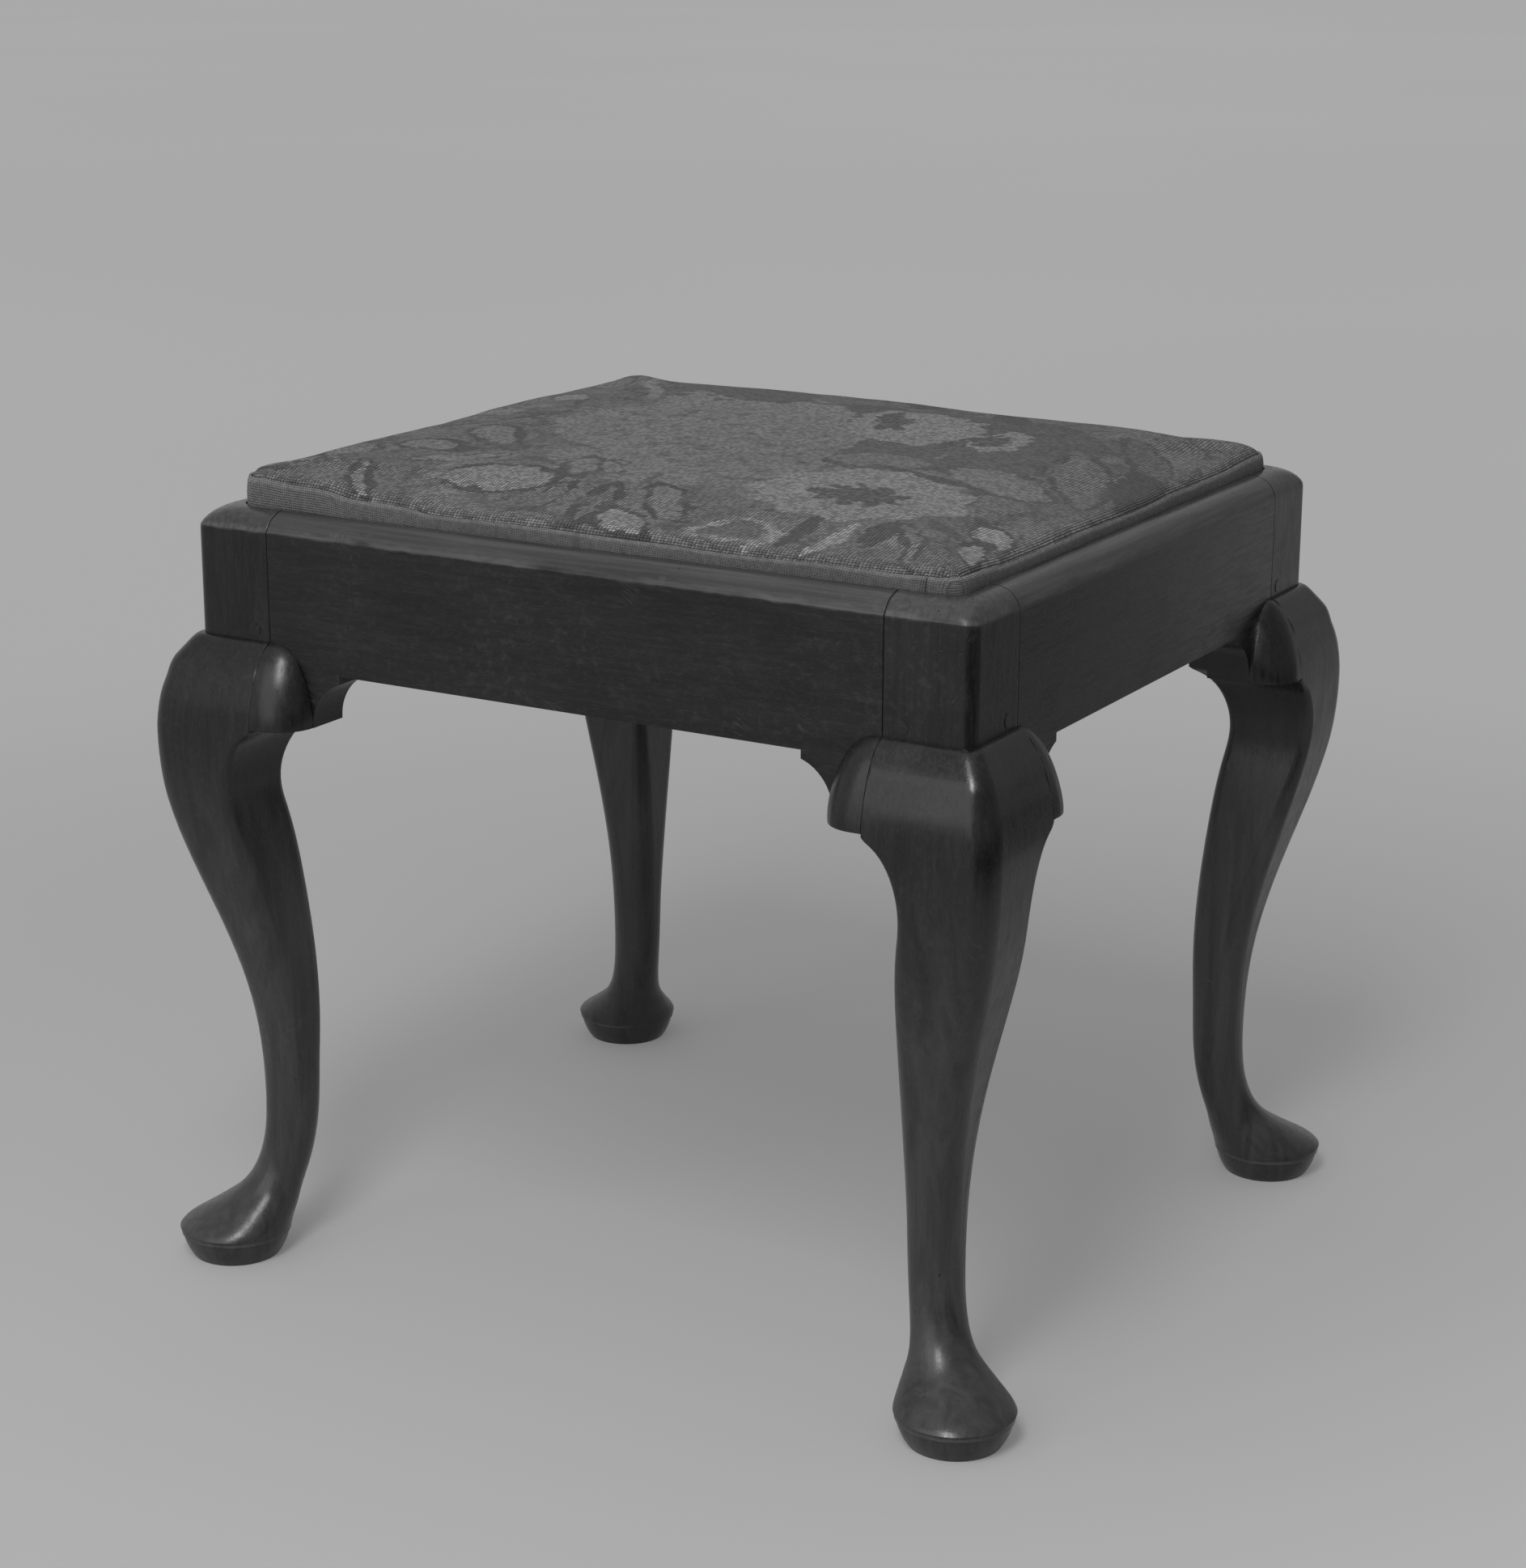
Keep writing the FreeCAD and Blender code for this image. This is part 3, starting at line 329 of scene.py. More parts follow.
def linen_undercover(form, material):
    """Linen over the hair, tacked part way down the seat frame's sides."""
    linen = layer_of(form, "linen_undercover", COVER_THICKNESS + LAYER_GAP,
                     lambda centre: centre.z > LINEN_HEM, "slip_seat", material)
    walled(linen, LINEN_THICKNESS - LAYER_GAP)
    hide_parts("undercover")
    return linen


def hair_pad(form, material):
    """Curled hair between the sacking and the linen."""
    def lowest(x, y):
        over_opening = abs(x) < FRAME_OPENING[0] and abs(y) < FRAME_OPENING[1]
        return SACKING_TOP + 3 * LAYER_GAP if over_opening else SEAT_FRAME_TOP + 2 * LAYER_GAP
    pad = layer_of(form, "hair_pad", COVER_THICKNESS + LINEN_THICKNESS + 2 * LAYER_GAP,
                   lambda centre: True, "slip_seat", material, lowest, PAD_MERGE)
    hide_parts("stuffing")


def edge_tape(material):
    """Woven tape round the seat's edge, its ends meeting near the front right corner."""
    shape = bmesh.new()
    faces = rounded_plan(shape, TAPE_HALF, TAPE_CORNER, TAPE_LOW, 8)
    bmesh.ops.delete(shape, geom=faces, context="FACES_ONLY")
    sides = [edge for edge in shape.edges if edge.calc_length() > 0.1]
    bmesh.ops.subdivide_edges(shape, edges=sides, cuts=90)
    rim, verts = shape.edges[:], shape.verts[:]
    reached = inset = 0.0
    for share, draw in TAPE_LEVELS:
        if share > reached:
            grown = bmesh.ops.extrude_edge_only(shape, edges=rim)["geom"]
            verts = of_kind(grown, bmesh.types.BMVert)
            rim = [edge for edge in of_kind(grown, bmesh.types.BMEdge)
                   if all(vert in set(verts) for vert in edge.verts)]
            rise = (share - reached) * (TAPE_HIGH - TAPE_LOW)
            bmesh.ops.translate(shape, vec=(0.0, 0.0, rise), verts=verts)
        drawn_in(shape, verts, [side - inset for side in TAPE_HALF], draw - inset)
        reached, inset = share, draw
    for place in (TAPE_JOINT - TAPE_JOINT_HALF, TAPE_JOINT + TAPE_JOINT_HALF):
        everything = shape.verts[:] + shape.edges[:] + shape.faces[:]
        bmesh.ops.bisect_plane(shape, geom=everything, dist=1e-6, plane_co=(place, 0.0, 0.0),
                               plane_no=(1.0, 0.0, 0.0))
    gap = []
    for face in shape.faces:
        centre = face.calc_center_median()
        if abs(centre.x - TAPE_JOINT) < TAPE_JOINT_HALF and centre.y < 0.0:
            gap.append(face)
    bmesh.ops.delete(shape, geom=gap, context="FACES")
    band = shape.loops.layers.uv.new("band")
    for face in shape.faces:
        for loop in face.loops:
            x, y, z = loop.vert.co
            loop[band].uv = (x + y if x * y > 0.0 else x - y, z - TAPE_LOW)
    for vert in shape.verts:
        along = vert.co.x + vert.co.y * 1.3
        vert.co.z += noise.noise(Vector((along * 22.0, 0.5, 1.0))) * 0.00055 + settling(*vert.co)
    tape = finished("woven_edge_tape", shape, "slip_seat", material)
    walled(tape, TAPE_THICKNESS)
    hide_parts("edge_tape")
    return tape


def webbing(name, node, reach, places, crossings, turned, first_over, material):
    """Strips of webbing, each lifted at every other strip it crosses. As called, both sets lift at
    the same crossings, so they pass through each other.
    """
    shape = bmesh.new()
    for number, place in enumerate(places):
        grid = bmesh.ops.create_grid(shape, x_segments=150, y_segments=6, size=1.0)["verts"]
        bmesh.ops.scale(shape, vec=(reach, WEBBING_WIDTH / 2, 1.0), verts=grid)
        for vert in grid:
            x = vert.co.x
            lift = 0.0
            for cross, centre in enumerate(crossings):
                if (number + cross + first_over) % 2 == 0:
                    near = max(0.0, 1.0 - abs(x - centre) / WEBBING_RISE)
                    lift = max(lift, min(1.0, near * 2.3))
            lift = lift * lift * (3 - 2 * lift)
            vert.co.z = SEAT_FRAME_TOP + LAYER_GAP / 2 + lift * WEBBING_LIFT
            vert.co.y += noise.noise(Vector((x * 9.0, place * 30.0, 2.0))) * 0.0006
        bmesh.ops.translate(shape, vec=(0.0, place, 0.0), verts=grid)
    if turned:
        quarter = Matrix.Rotation(math.pi / 2, 3, "Z")
        bmesh.ops.rotate(shape, cent=(0.0, 0.0, 0.0), matrix=quarter, verts=shape.verts[:])
    for face in shape.faces:
        if face.normal.z < 0.0:
            face.normal_flip()
    strips = placed(name, shape)
    strips.data.materials.append(material)
    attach(strips, "slip_seat")
    walled(strips, WEBBING_THICKNESS, offset=1.0)
    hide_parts(node)
    return strips


def sacking_sheet(material):
    """Hessian laid over the webbing."""
    shape = bmesh.new()
    grid = bmesh.ops.create_grid(shape, x_segments=72, y_segments=62, size=1.0)["verts"]
    bmesh.ops.scale(shape, vec=(*SACKING_HALF, 1.0), verts=grid)
    bmesh.ops.translate(shape, vec=(0.0, 0.0, SACKING_BOTTOM), verts=grid)
    for vert in grid:
        vert.co.z += abs(noise.noise(vert.co * 60.0)) * 0.0003
        vert.co.x += noise.noise(Vector((vert.co.y * 70.0, vert.co.x * 9.0, 1.0))) * 0.0005
    sacking = finished("hessian_sacking", shape, "slip_seat", material)
    walled(sacking, SACKING_THICKNESS, offset=1.0)
    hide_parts("sacking")
    return sacking


# ---------------------------------------------------------------- node graphs

class Graph:
    """Short hand for wiring a shader or group tree."""

    def __init__(self, tree):
        self.tree = tree

    def feed(self, socket, value):
        """Give a socket a value or another node's output."""
        if isinstance(value, bpy.types.NodeSocket):
            self.tree.links.new(value, socket)
        elif value is not None:
            socket.default_value = value

    def put(self, kind, inputs=(), **settings):
        """Place a node, set it up and feed its sockets with values or other outputs."""
        node = self.tree.nodes.new(kind)
        for key, value in settings.items():
            setattr(node, key, value)
        for socket, value in (inputs.items() if isinstance(inputs, dict) else enumerate(inputs)):
            self.feed(node.inputs[socket], value)
        return node

    def math(self, operation, first, second=None):
        return self.put("ShaderNodeMath", (first, second), operation=operation).outputs[0]

    def add(self, first, second):
        return self.math("ADD", first, second)

    def minus(self, first, second):
        return self.math("SUBTRACT", first, second)

    def times(self, first, second):
        return self.math("MULTIPLY", first, second)

    def off(self, value, middle):
        """How far a value lies from a middle one, either way."""
        return self.math("ABSOLUTE", self.minus(value, middle))

    def vector(self, operation, first, second=None, scale=None):
        node = self.put("ShaderNodeVectorMath", (first, second), operation=operation)
        if scale is not None:
            self.feed(node.inputs["Scale"], scale)
        return node.outputs["Value" if operation in ("LENGTH", "DOT_PRODUCT") else "Vector"]

    def stretched(self, vector, factors):
        return self.vector("MULTIPLY", vector, factors)

    def mapped(self, vector, rotation):
        """A place turned by angles about the three axes."""
        return self.put("ShaderNodeMapping", {"Vector": vector, "Rotation": rotation}).outputs[0]

    def turned(self, vector, angle):
        """A place turned about the upright axis."""
        return self.put("ShaderNodeVectorRotate", {"Vector": vector, "Angle": angle},
                        rotation_type="Z_AXIS").outputs[0]

    def split(self, vector):
        return self.put("ShaderNodeSeparateXYZ", (vector,)).outputs

    def join(self, x, y, z=0.0):
        return self.put("ShaderNodeCombineXYZ", (x, y, z)).outputs[0]

    def blend(self, share, first, second):
        """Mix two values."""
        return self.put("ShaderNodeMix", {0: share, 2: first, 3: second},
                        data_type="FLOAT").outputs[0]

    def ramp(self, value, low, high, out_low=0.0, out_high=1.0):
        """Smooth step from one value to another."""
        return self.put("ShaderNodeMapRange", (value, low, high, out_low, out_high),
                        interpolation_type="SMOOTHSTEP").outputs[0]

    def noise(self, vector, scale, detail=3.0, roughness=0.55, distortion=0.0):
        return self.put("ShaderNodeTexNoise", {
            "Vector": vector, "Scale": scale, "Detail": detail, "Roughness": roughness,
            "Distortion": distortion}).outputs["Fac"]

    def wander(self, vector, scale, detail, reach):
        """A small shift that differs from place to place."""
        shift = self.put("ShaderNodeTexNoise", {"Vector": vector, "Scale": scale, "Detail": detail})
        centred = self.vector("SUBTRACT", shift.outputs["Color"], (0.5, 0.5, 0.5))
        return self.vector("SCALE", centred, scale=reach)

    def cells(self, vector, scale, feature="F1"):
        return self.put("ShaderNodeTexVoronoi", {"Vector": vector, "Scale": scale},
                        feature=feature).outputs["Distance"]

    def group(self, tree, inputs):
        return self.put("ShaderNodeGroup", inputs, node_tree=tree).outputs


def effect(name, inputs, outputs):
    """A node group with named sockets; returns it with its graph and its two ends."""
    kinds = {"value": "NodeSocketFloat", "vector": "NodeSocketVector"}
    tree = bpy.data.node_groups.new(name, "ShaderNodeTree")
    for label, (kind, default) in inputs.items():
        socket = tree.interface.new_socket(label, in_out="INPUT", socket_type=kinds[kind])
        socket.default_value = default
    for label, kind in outputs.items():
        tree.interface.new_socket(label, in_out="OUTPUT", socket_type=kinds[kind])
    ins, outs = tree.nodes.new("NodeGroupInput"), tree.nodes.new("NodeGroupOutput")
    return tree, Graph(tree), ins.outputs, outs.inputs


def give(graph, ends, **values):
    """Wire a group's results to its outputs."""
    for label, value in values.items():
        graph.feed(ends[label], value)


def grain_effect():
    """Wood figure, pores and pale flecks running along X."""
    tree, g, ins, outs = effect(
        "wood grain",
        {"Vector": ("vector", (0.0, 0.0, 0.0)), "Seed": ("value", 0.0)},
        {"Figure": "value", "Pores": "value", "Flecks": "value"},
    )
    shifted = g.vector("ADD", ins["Vector"], g.join(ins["Seed"], ins["Seed"], ins["Seed"]))
    figure = g.noise(g.stretched(shifted, (1.0, 9.0, 9.0)), 9.0, 5.0, 0.6, 1.2)
    pores = g.ramp(g.noise(g.stretched(shifted, (1.0, 26.0, 26.0)), 34.0, 3.0, 0.6), 0.54, 0.66)
    flecks = g.ramp(g.noise(g.stretched(shifted, (1.0, 4.5, 4.5)), 330.0, 2.0, 0.5), 0.56, 0.68)
    give(g, outs, Figure=figure, Pores=pores, Flecks=flecks)
    return tree


def scuff_effect():
    """Fine scratches, small pits and dull patches of an old polish."""
    tree, g, ins, outs = effect(
        "old scuffs",
        {"Vector": ("vector", (0.0, 0.0, 0.0))},
        {"Scratches": "value", "Pits": "value", "Dullness": "value"},
    )
    scratches = None
    x, y, z = g.split(ins["Vector"])
    both_faces = g.join(g.add(x, y), z)
    for number, (lean, stretch) in enumerate(((0.5, 55.0), (-0.9, 70.0))):
        drawn = g.stretched(g.mapped(both_faces, (0.0, 0.0, lean)), (4.0, stretch, 0.0))
        lines = g.ramp(g.off(g.noise(drawn, 8.0 + number * 3.0, 0.0), 0.5), 0.0, 0.035, 1.0, 0.0)
        patch = g.ramp(g.noise(ins["Vector"], 31.0 + number * 9.0, 2.0), 0.66, 0.72)
        lines = g.times(lines, patch)
        scratches = lines if scratches is None else g.math("MAXIMUM", scratches, lines)
    pits = g.ramp(g.cells(ins["Vector"], 120.0), 0.05, 0.11, 1.0, 0.0)
    pits = g.times(pits, g.ramp(g.noise(ins["Vector"], 21.0, 2.0), 0.55, 0.63))
    dull = g.ramp(g.noise(ins["Vector"], 11.0, 4.0, 0.65), 0.4, 0.72)
    give(g, outs, Scratches=scratches, Pits=pits, Dullness=dull)
    return tree


def motif_effect():
    """One leaf or petal of the needlework: its filling and its outline."""
    tree, g, ins, outs = effect(
        "needlework leaf",
        {"Vector": ("vector", (0.0, 0.0, 0.0)), "Centre": ("vector", (0.0, 0.0, 0.0)),
         "Turn": ("value", 0.0), "Half length": ("value", 0.02), "Half width": ("value", 0.01),
         "Roundness": ("value", 1.3), "Line": ("value", 0.2)},
        {"Filling": "value", "Outline": "value"},
    )
    away = g.vector("SUBTRACT", ins["Vector"], ins["Centre"])
    x, y, _ = g.split(g.turned(away, g.times(ins["Turn"], -1.0)))
    x = g.math("ABSOLUTE", g.math("DIVIDE", x, ins["Half length"]))
    y = g.math("ABSOLUTE", g.math("DIVIDE", y, ins["Half width"]))
    reach = g.add(g.math("POWER", x, 2.0), g.math("POWER", y, ins["Roundness"]))
    filling = g.math("LESS_THAN", reach, 1.0)
    outline = g.math("LESS_THAN", g.off(reach, 1.0), ins["Line"])
    give(g, outs, Filling=filling, Outline=outline)
    return tree


def stitch_effect():
    """Slanting stitches on a square canvas: their height and the middle of each stitch's cell."""
    tree, g, ins, outs = effect(
        "slanting stitches",
        {"Vector": ("vector", (0.0, 0.0, 0.0)), "Pitch": ("value", 0.0016)},
        {"Height": "value", "Cell": "vector"},
    )
    flat = g.stretched(ins["Vector"], (1.0, 1.0, 0.0))
    moved = g.vector("ADD", flat, g.wander(flat, 28.0, 2.0, 0.0011))
    moved = g.stretched(moved, (1.0, 1.0, 0.0))
    counted = g.vector("DIVIDE", moved, g.join(ins["Pitch"], ins["Pitch"], 1.0))
    whole = g.vector("FLOOR", counted)
    inside = g.vector("SUBTRACT", g.vector("SUBTRACT", counted, whole), (0.5, 0.5, 0.0))
    x, y, _ = g.split(inside)
    along = g.math("ABSOLUTE", g.math("DIVIDE", g.add(x, y), 0.92))
    across = g.math("ABSOLUTE", g.math("DIVIDE", g.minus(x, y), 0.62))
    swell = g.minus(1.0, g.add(g.math("POWER", along, 2.5), g.math("POWER", across, 2.0)))
    height = g.math("MAXIMUM", swell, 0.0)
    cell = g.stretched(whole, g.join(ins["Pitch"], ins["Pitch"], 0.0))
    give(g, outs, Height=height, Cell=cell)
    return tree


def weave_effect():
    """Plain weave: height of the threads over and under each other."""
    tree, g, ins, outs = effect(
        "plain weave",
        {"Vector": ("vector", (0.0, 0.0, 0.0)), "Pitch": ("value", 0.001)},
        {"Height": "value"},
    )
    counted = g.vector("DIVIDE", ins["Vector"], g.join(ins["Pitch"], ins["Pitch"], ins["Pitch"]))
    x, y, _ = g.split(counted)
    warp = g.math("ABSOLUTE", g.math("SINE", g.times(x, math.pi)))
    weft = g.math("ABSOLUTE", g.math("SINE", g.times(y, math.pi)))
    crossing = g.add(g.math("FLOOR", x), g.add(g.math("FLOOR", y), 4000.0))
    over = g.math("GREATER_THAN", g.math("MODULO", crossing, 2.0), 0.5)
    height = g.blend(over, g.times(warp, g.math("POWER", weft, 0.4)),
                     g.times(weft, g.math("POWER", warp, 0.4)))
    give(g, outs, Height=height)
    return tree


GRAIN = grain_effect()
SCUFFS = scuff_effect()
LEAF = motif_effect()
STITCHES = stitch_effect()
WEAVE = weave_effect()


def finish_of(name, roughness=0.5):
    """A new material with its graph and its shader."""
    material = bpy.data.materials.new(name)
    material.use_nodes = True
    graph = Graph(material.node_tree)
    shader = material.node_tree.nodes["Principled BSDF"]
    shader.inputs["Roughness"].default_value = roughness
    place = graph.put("ShaderNodeTexCoord").outputs["Object"]
    return material, graph, shader, place


def grey(graph, value):
    """A neutral colour from a value."""
    return graph.put("ShaderNodeCombineColor", (value, value, value)).outputs[0]


def bumped(graph, shader, height, distance, strength=1.0):
    """Raise a finish by a height pattern."""
    bump = graph.put("ShaderNodeBump", {"Height": height, "Distance": distance,
                                        "Strength": strength})
    graph.feed(shader.inputs["Normal"], bump.outputs[0])


def polished_wood(name, turn, seed, tone=POLISH_TONE, painted_leg_sheen=0.0):
    """Dark polished show wood, its grain along X turned as the piece needs.

    The lips and toes are worn, with a painted highlight along their edges, and the lip's top is
    painted paler as wear and a painted highlight. The seams beside the posts are dark, and a
    painted sheen makes the lower legs paler.
    """
    material, g, shader, place = finish_of(name)
    grained = g.mapped(place, turn)
    grain = g.group(GRAIN, {"Vector": grained, "Seed": seed})
    scuffs = g.group(SCUFFS, {"Vector": place})
    rubbed = g.noise(g.stretched(grained, (0.10, 1.0, 1.0)), 420.0, 3.0, 0.6)
    x, y, z = g.split(place)

    seams = [g.ramp(g.off(g.math("ABSOLUTE", side), seam), 0.0002, 0.0007, 1.0, 0.0)
             for side, seam in zip((x, y), POST_SEAMS)]
    seam = g.times(g.math("MAXIMUM", *seams), g.ramp(z, 0.355, 0.365))
    ragged = g.add(z, g.times(g.minus(g.noise(place, 90.0, 3.0), 0.5), 0.0022))
    # Lip and toe lines: worn polish and a painted highlight, a pale ragged line along each edge.
    lip = g.ramp(g.off(ragged, LIP_HEIGHT), 0.0004, 0.0021, 1.0, 0.0)
    toe = g.ramp(g.off(ragged, TOE_HEIGHT), 0.0002, 0.0011, 1.0, 0.0)
    edge_wear_and_sheen = g.times(g.math("MAXIMUM", lip, toe), g.ramp(g.noise(place, 26.0, 3.0), 0.30, 0.58))
    # The lip's top is painted paler in streaks: wear and a painted highlight where it faces up.
    ledge_wear_and_sheen = g.ramp(z, 0.4214, 0.4232)
    streaks = g.noise(g.stretched(grained, (1.0, 30.0, 30.0)), 12.0, 3.0)
    streaks = g.ramp(streaks, 0.3, 0.7, 0.6, 1.3)
    smears = g.ramp(g.noise(place, 230.0, 3.0, 0.6), 0.5, 0.72, 0.0, 0.012)

    base = g.times(tone, g.ramp(grain["Figure"], 0.3, 0.7, 0.70, 1.35))
    base = g.times(base, g.minus(1.0, g.times(grain["Pores"], 0.35)))
    # The third term is a painted sheen: the lower legs painted paler, fading out below the knees.
    for more in (g.times(grain["Flecks"], 0.006), g.ramp(rubbed, 0.5, 0.7, 0.0, 0.0028),
                 g.times(g.ramp(z, 0.16, 0.34, painted_leg_sheen, 0.0), grain["Figure"]),
                 g.times(scuffs["Dullness"], smears), g.times(g.times(ledge_wear_and_sheen, streaks), 0.028)):
        base = g.add(base, more)
    for share, mark in ((g.times(g.times(edge_wear_and_sheen, streaks), 0.42), 0.11),
                        (g.times(scuffs["Scratches"], 0.14), 0.10),
                        (g.times(scuffs["Pits"], 0.8), 0.004), (seam, 0.001)):
        base = g.blend(share, base, mark)
    g.feed(shader.inputs["Base Color"], grey(g, base))

    rough = 0.22
    for more in (g.times(scuffs["Dullness"], 0.14), g.ramp(rubbed, 0.35, 0.68, 0.0, 0.10),
                 g.times(g.math("MAXIMUM", edge_wear_and_sheen, scuffs["Scratches"]), 0.2),
                 g.times(grain["Pores"], 0.05)):
        rough = g.add(rough, more)
    g.feed(shader.inputs["Roughness"], rough)

    height = g.times(grain["Figure"], 0.35)
    for relief, share in ((grain["Pores"], -0.15), (scuffs["Pits"], -1.6),
                          (scuffs["Scratches"], -0.5), (grain["Flecks"], 0.1),
                          (rubbed, 0.18), (seam, -2.5)):
        height = g.add(height, g.times(relief, share))
    bumped(g, shader, height, 0.00013, 0.7)
    g.feed(shader.inputs["Specular IOR Level"], 0.38)
    g.feed(shader.inputs["Coat Weight"], 0.10)
    g.feed(shader.inputs["Coat Roughness"], 0.22)
    return material


def plain_wood(name, turn, seed, tone):
    """Unpolished wood of the hidden parts."""
    material, g, shader, place = finish_of(name)
    grain = g.group(GRAIN, {"Vector": g.mapped(place, turn), "Seed": seed})
    base = g.times(tone, g.ramp(grain["Figure"], 0.25, 0.75, 0.7, 1.2))
    base = g.times(base, g.minus(1.0, g.times(grain["Pores"], 0.3)))
    base = g.times(base, g.ramp(g.noise(place, 19.0, 4.0), 0.42, 0.75, 1.0, 0.6))
    g.feed(shader.inputs["Base Color"], grey(g, base))
    g.feed(shader.inputs["Roughness"], g.add(0.62, g.times(grain["Pores"], 0.2)))
    bumped(g, shader, g.minus(grain["Figure"], grain["Pores"]), 0.0003, 0.7)
    return material


def tack_steel():
    """Blued steel with rust in patches."""
    material, g, shader, place = finish_of("blued tack steel")
    rust = g.ramp(g.noise(place, 900.0, 3.0), 0.45, 0.7)
    g.feed(shader.inputs["Base Color"], grey(g, g.blend(rust, 0.30, 0.07)))
    g.feed(shader.inputs["Metallic"], g.blend(rust, 0.85, 0.15))
    g.feed(shader.inputs["Roughness"], g.blend(rust, 0.38, 0.8))
    bumped(g, shader, rust, 0.00008)
    return material


def cloth(name, pitch, low, high, depth):
    """Plain woven cloth: webbing, hessian or linen."""
    material, g, shader, place = finish_of(name, 0.9)
    weave = g.group(WEAVE, {"Vector": place, "Pitch": pitch})
    uneven = g.noise(place, 160.0, 3.0)
    tone = g.blend(weave["Height"], low, high)
    tone = g.times(tone, g.ramp(uneven, 0.3, 0.7, 0.75, 1.25))
    tone = g.times(tone, g.ramp(g.noise(place, 15.0, 4.0), 0.35, 0.75, 1.0, 0.78))
    g.feed(shader.inputs["Base Color"], grey(g, tone))
    bumped(g, shader, g.add(weave["Height"], g.times(uneven, 0.6)), depth)
    g.feed(shader.inputs["Sheen Weight"], 0.15)
    return material


def tape_cloth():
    """Woven tape: ribs across the band, a painted highlight along its top, painted shade low down.
    """
    material, g, shader, place = finish_of("woven edge tape", 0.9)
    band = g.put("ShaderNodeUVMap", uv_map="band").outputs[0]
    _, up, _ = g.split(band)
    weave = g.group(WEAVE, {"Vector": g.stretched(band, (1.0, 1.5, 1.0)), "Pitch": 0.0014})
    uneven = g.noise(place, 300.0, 3.0)
    tone = g.blend(weave["Height"], 0.042, 0.118)
    # The last two factors are a painted highlight along the top edge and painted shade low down.
    for factor in (g.ramp(uneven, 0.3, 0.7, 0.8, 1.2),
                   g.ramp(g.noise(place, 15.0, 4.0), 0.35, 0.75, 1.05, 0.85),
                   g.ramp(up, 0.0122, 0.0136, 1.0, 1.5), g.ramp(up, 0.0, 0.0075, 0.62, 1.0)):
        tone = g.times(tone, factor)
    g.feed(shader.inputs["Base Color"], grey(g, tone))
    bumped(g, shader, g.add(weave["Height"], g.times(uneven, 0.5)), 0.0005)
    g.feed(shader.inputs["Sheen Weight"], 0.12)
    return material


def curled_hair():
    """Dark hair with paler strands."""
    material, g, shader, place = finish_of("curled hair", 0.8)
    strands = g.ramp(g.off(g.noise(place, 210.0, 4.0, 0.7, 6.0), 0.5), 0.0, 0.05, 1.0, 0.0)
    g.feed(shader.inputs["Base Color"], grey(g, g.blend(strands, 0.03, 0.16)))
    bumped(g, shader, strands, 0.0008)
    return material


# Leaves of the needlework: place on the seat, turn, half length, half width (millimetres and
# degrees), roundness, line width, tone inside and tone of the line.
NEEDLEWORK_LEAVES = (
    (-105, 152, -20, 58, 34, 2.0, 0.0, 0.86, 1.0),
    (66, 166, -60, 40, 10, 1.4, 0.0, 0.72, 1.0),
    (4, 184, 75, 18, 13, 1.8, 0.0, 0.76, 1.0),
    (205, 44, -75, 52, 16, 1.6, 0.0, 0.68, 1.0),
    (176, 24, -65, 60, 17, 1.2, 0.16, 0.98, 0.74),
    (184, 96, -50, 44, 12, 1.3, 0.14, 0.9, 0.76),
    (149, -20, -33, 40, 20, 1.4, 0.12, 1.06, 0.8),
    (76, -12, 12, 28, 22, 1.8, 0.14, 1.0, 0.78),
    (118, -34, -12, 46, 6, 1.6, 0.0, 0.74, 1.0),
    (-149, -49, -50, 31, 14, 1.6, 0.24, 1.04, 0.72),
    (-159, -96, 2, 25, 15, 2.0, 0.30, 1.06, 0.68),
    (-202, -118, -50, 32, 16, 1.4, 0.22, 1.04, 0.74),
    (-205, -164, 0, 20, 19, 2.0, 0.30, 1.08, 0.68),
    (-181, -10, 40, 56, 3.4, 1.8, 0.0, 0.76, 1.0),
    (-181, 75, -50, 24, 9, 1.6, 0.16, 1.16, 0.82),
    (-196, 20, 20, 20, 10, 1.8, 0.22, 1.08, 0.78),
    (-198, 146, -45, 28, 16, 1.8, 0.20, 1.02, 0.8),
    (-150, 120, -62, 42, 5, 1.6, 0.0, 1.14, 1.0),
    (-149, -176, -55, 31, 6, 1.2, 0.36, 1.08, 0.66),
    (-126, -118, 40, 34, 8, 1.3, 0.20, 1.10, 0.78),
    (-82, -142, 12, 33, 20, 1.8, 0.20, 1.10, 0.66),
    (-54, -108, -62, 24, 10, 1.4, 0.26, 1.04, 0.74),
    (-44, -160, 80, 22, 8, 1.5, 0.30, 0.96, 0.66),
    (-12, -162, -80, 34, 8, 1.3, 0.32, 0.96, 0.64),
    (22, -142, -50, 34, 9, 1.4, 0.30, 1.02, 0.64),
    (15, -181, -48, 28, 14, 1.4, 0.26, 1.16, 0.66),
    (77, -174, 25, 22, 16, 1.8, 0.24, 0.9, 1.18),
    (110, -160, 88, 30, 5, 1.3, 0.0, 0.7, 1.0),
    (98, -182, 70, 18, 5, 1.3, 0.0, 1.2, 1.0),
    (151, -152, 80, 26, 7, 1.3, 0.0, 0.68, 1.0),
    (130, -168, 84, 30, 5, 1.3, 0.0, 1.2, 1.0),
    (169, -160, -65, 42, 5, 1.3, 0.30, 1.0, 0.7),
    (196, -118, -48, 27, 10, 1.5, 0.26, 1.18, 0.7),
    (206, -152, -60, 24, 9, 1.5, 0.26, 1.16, 0.66),
)


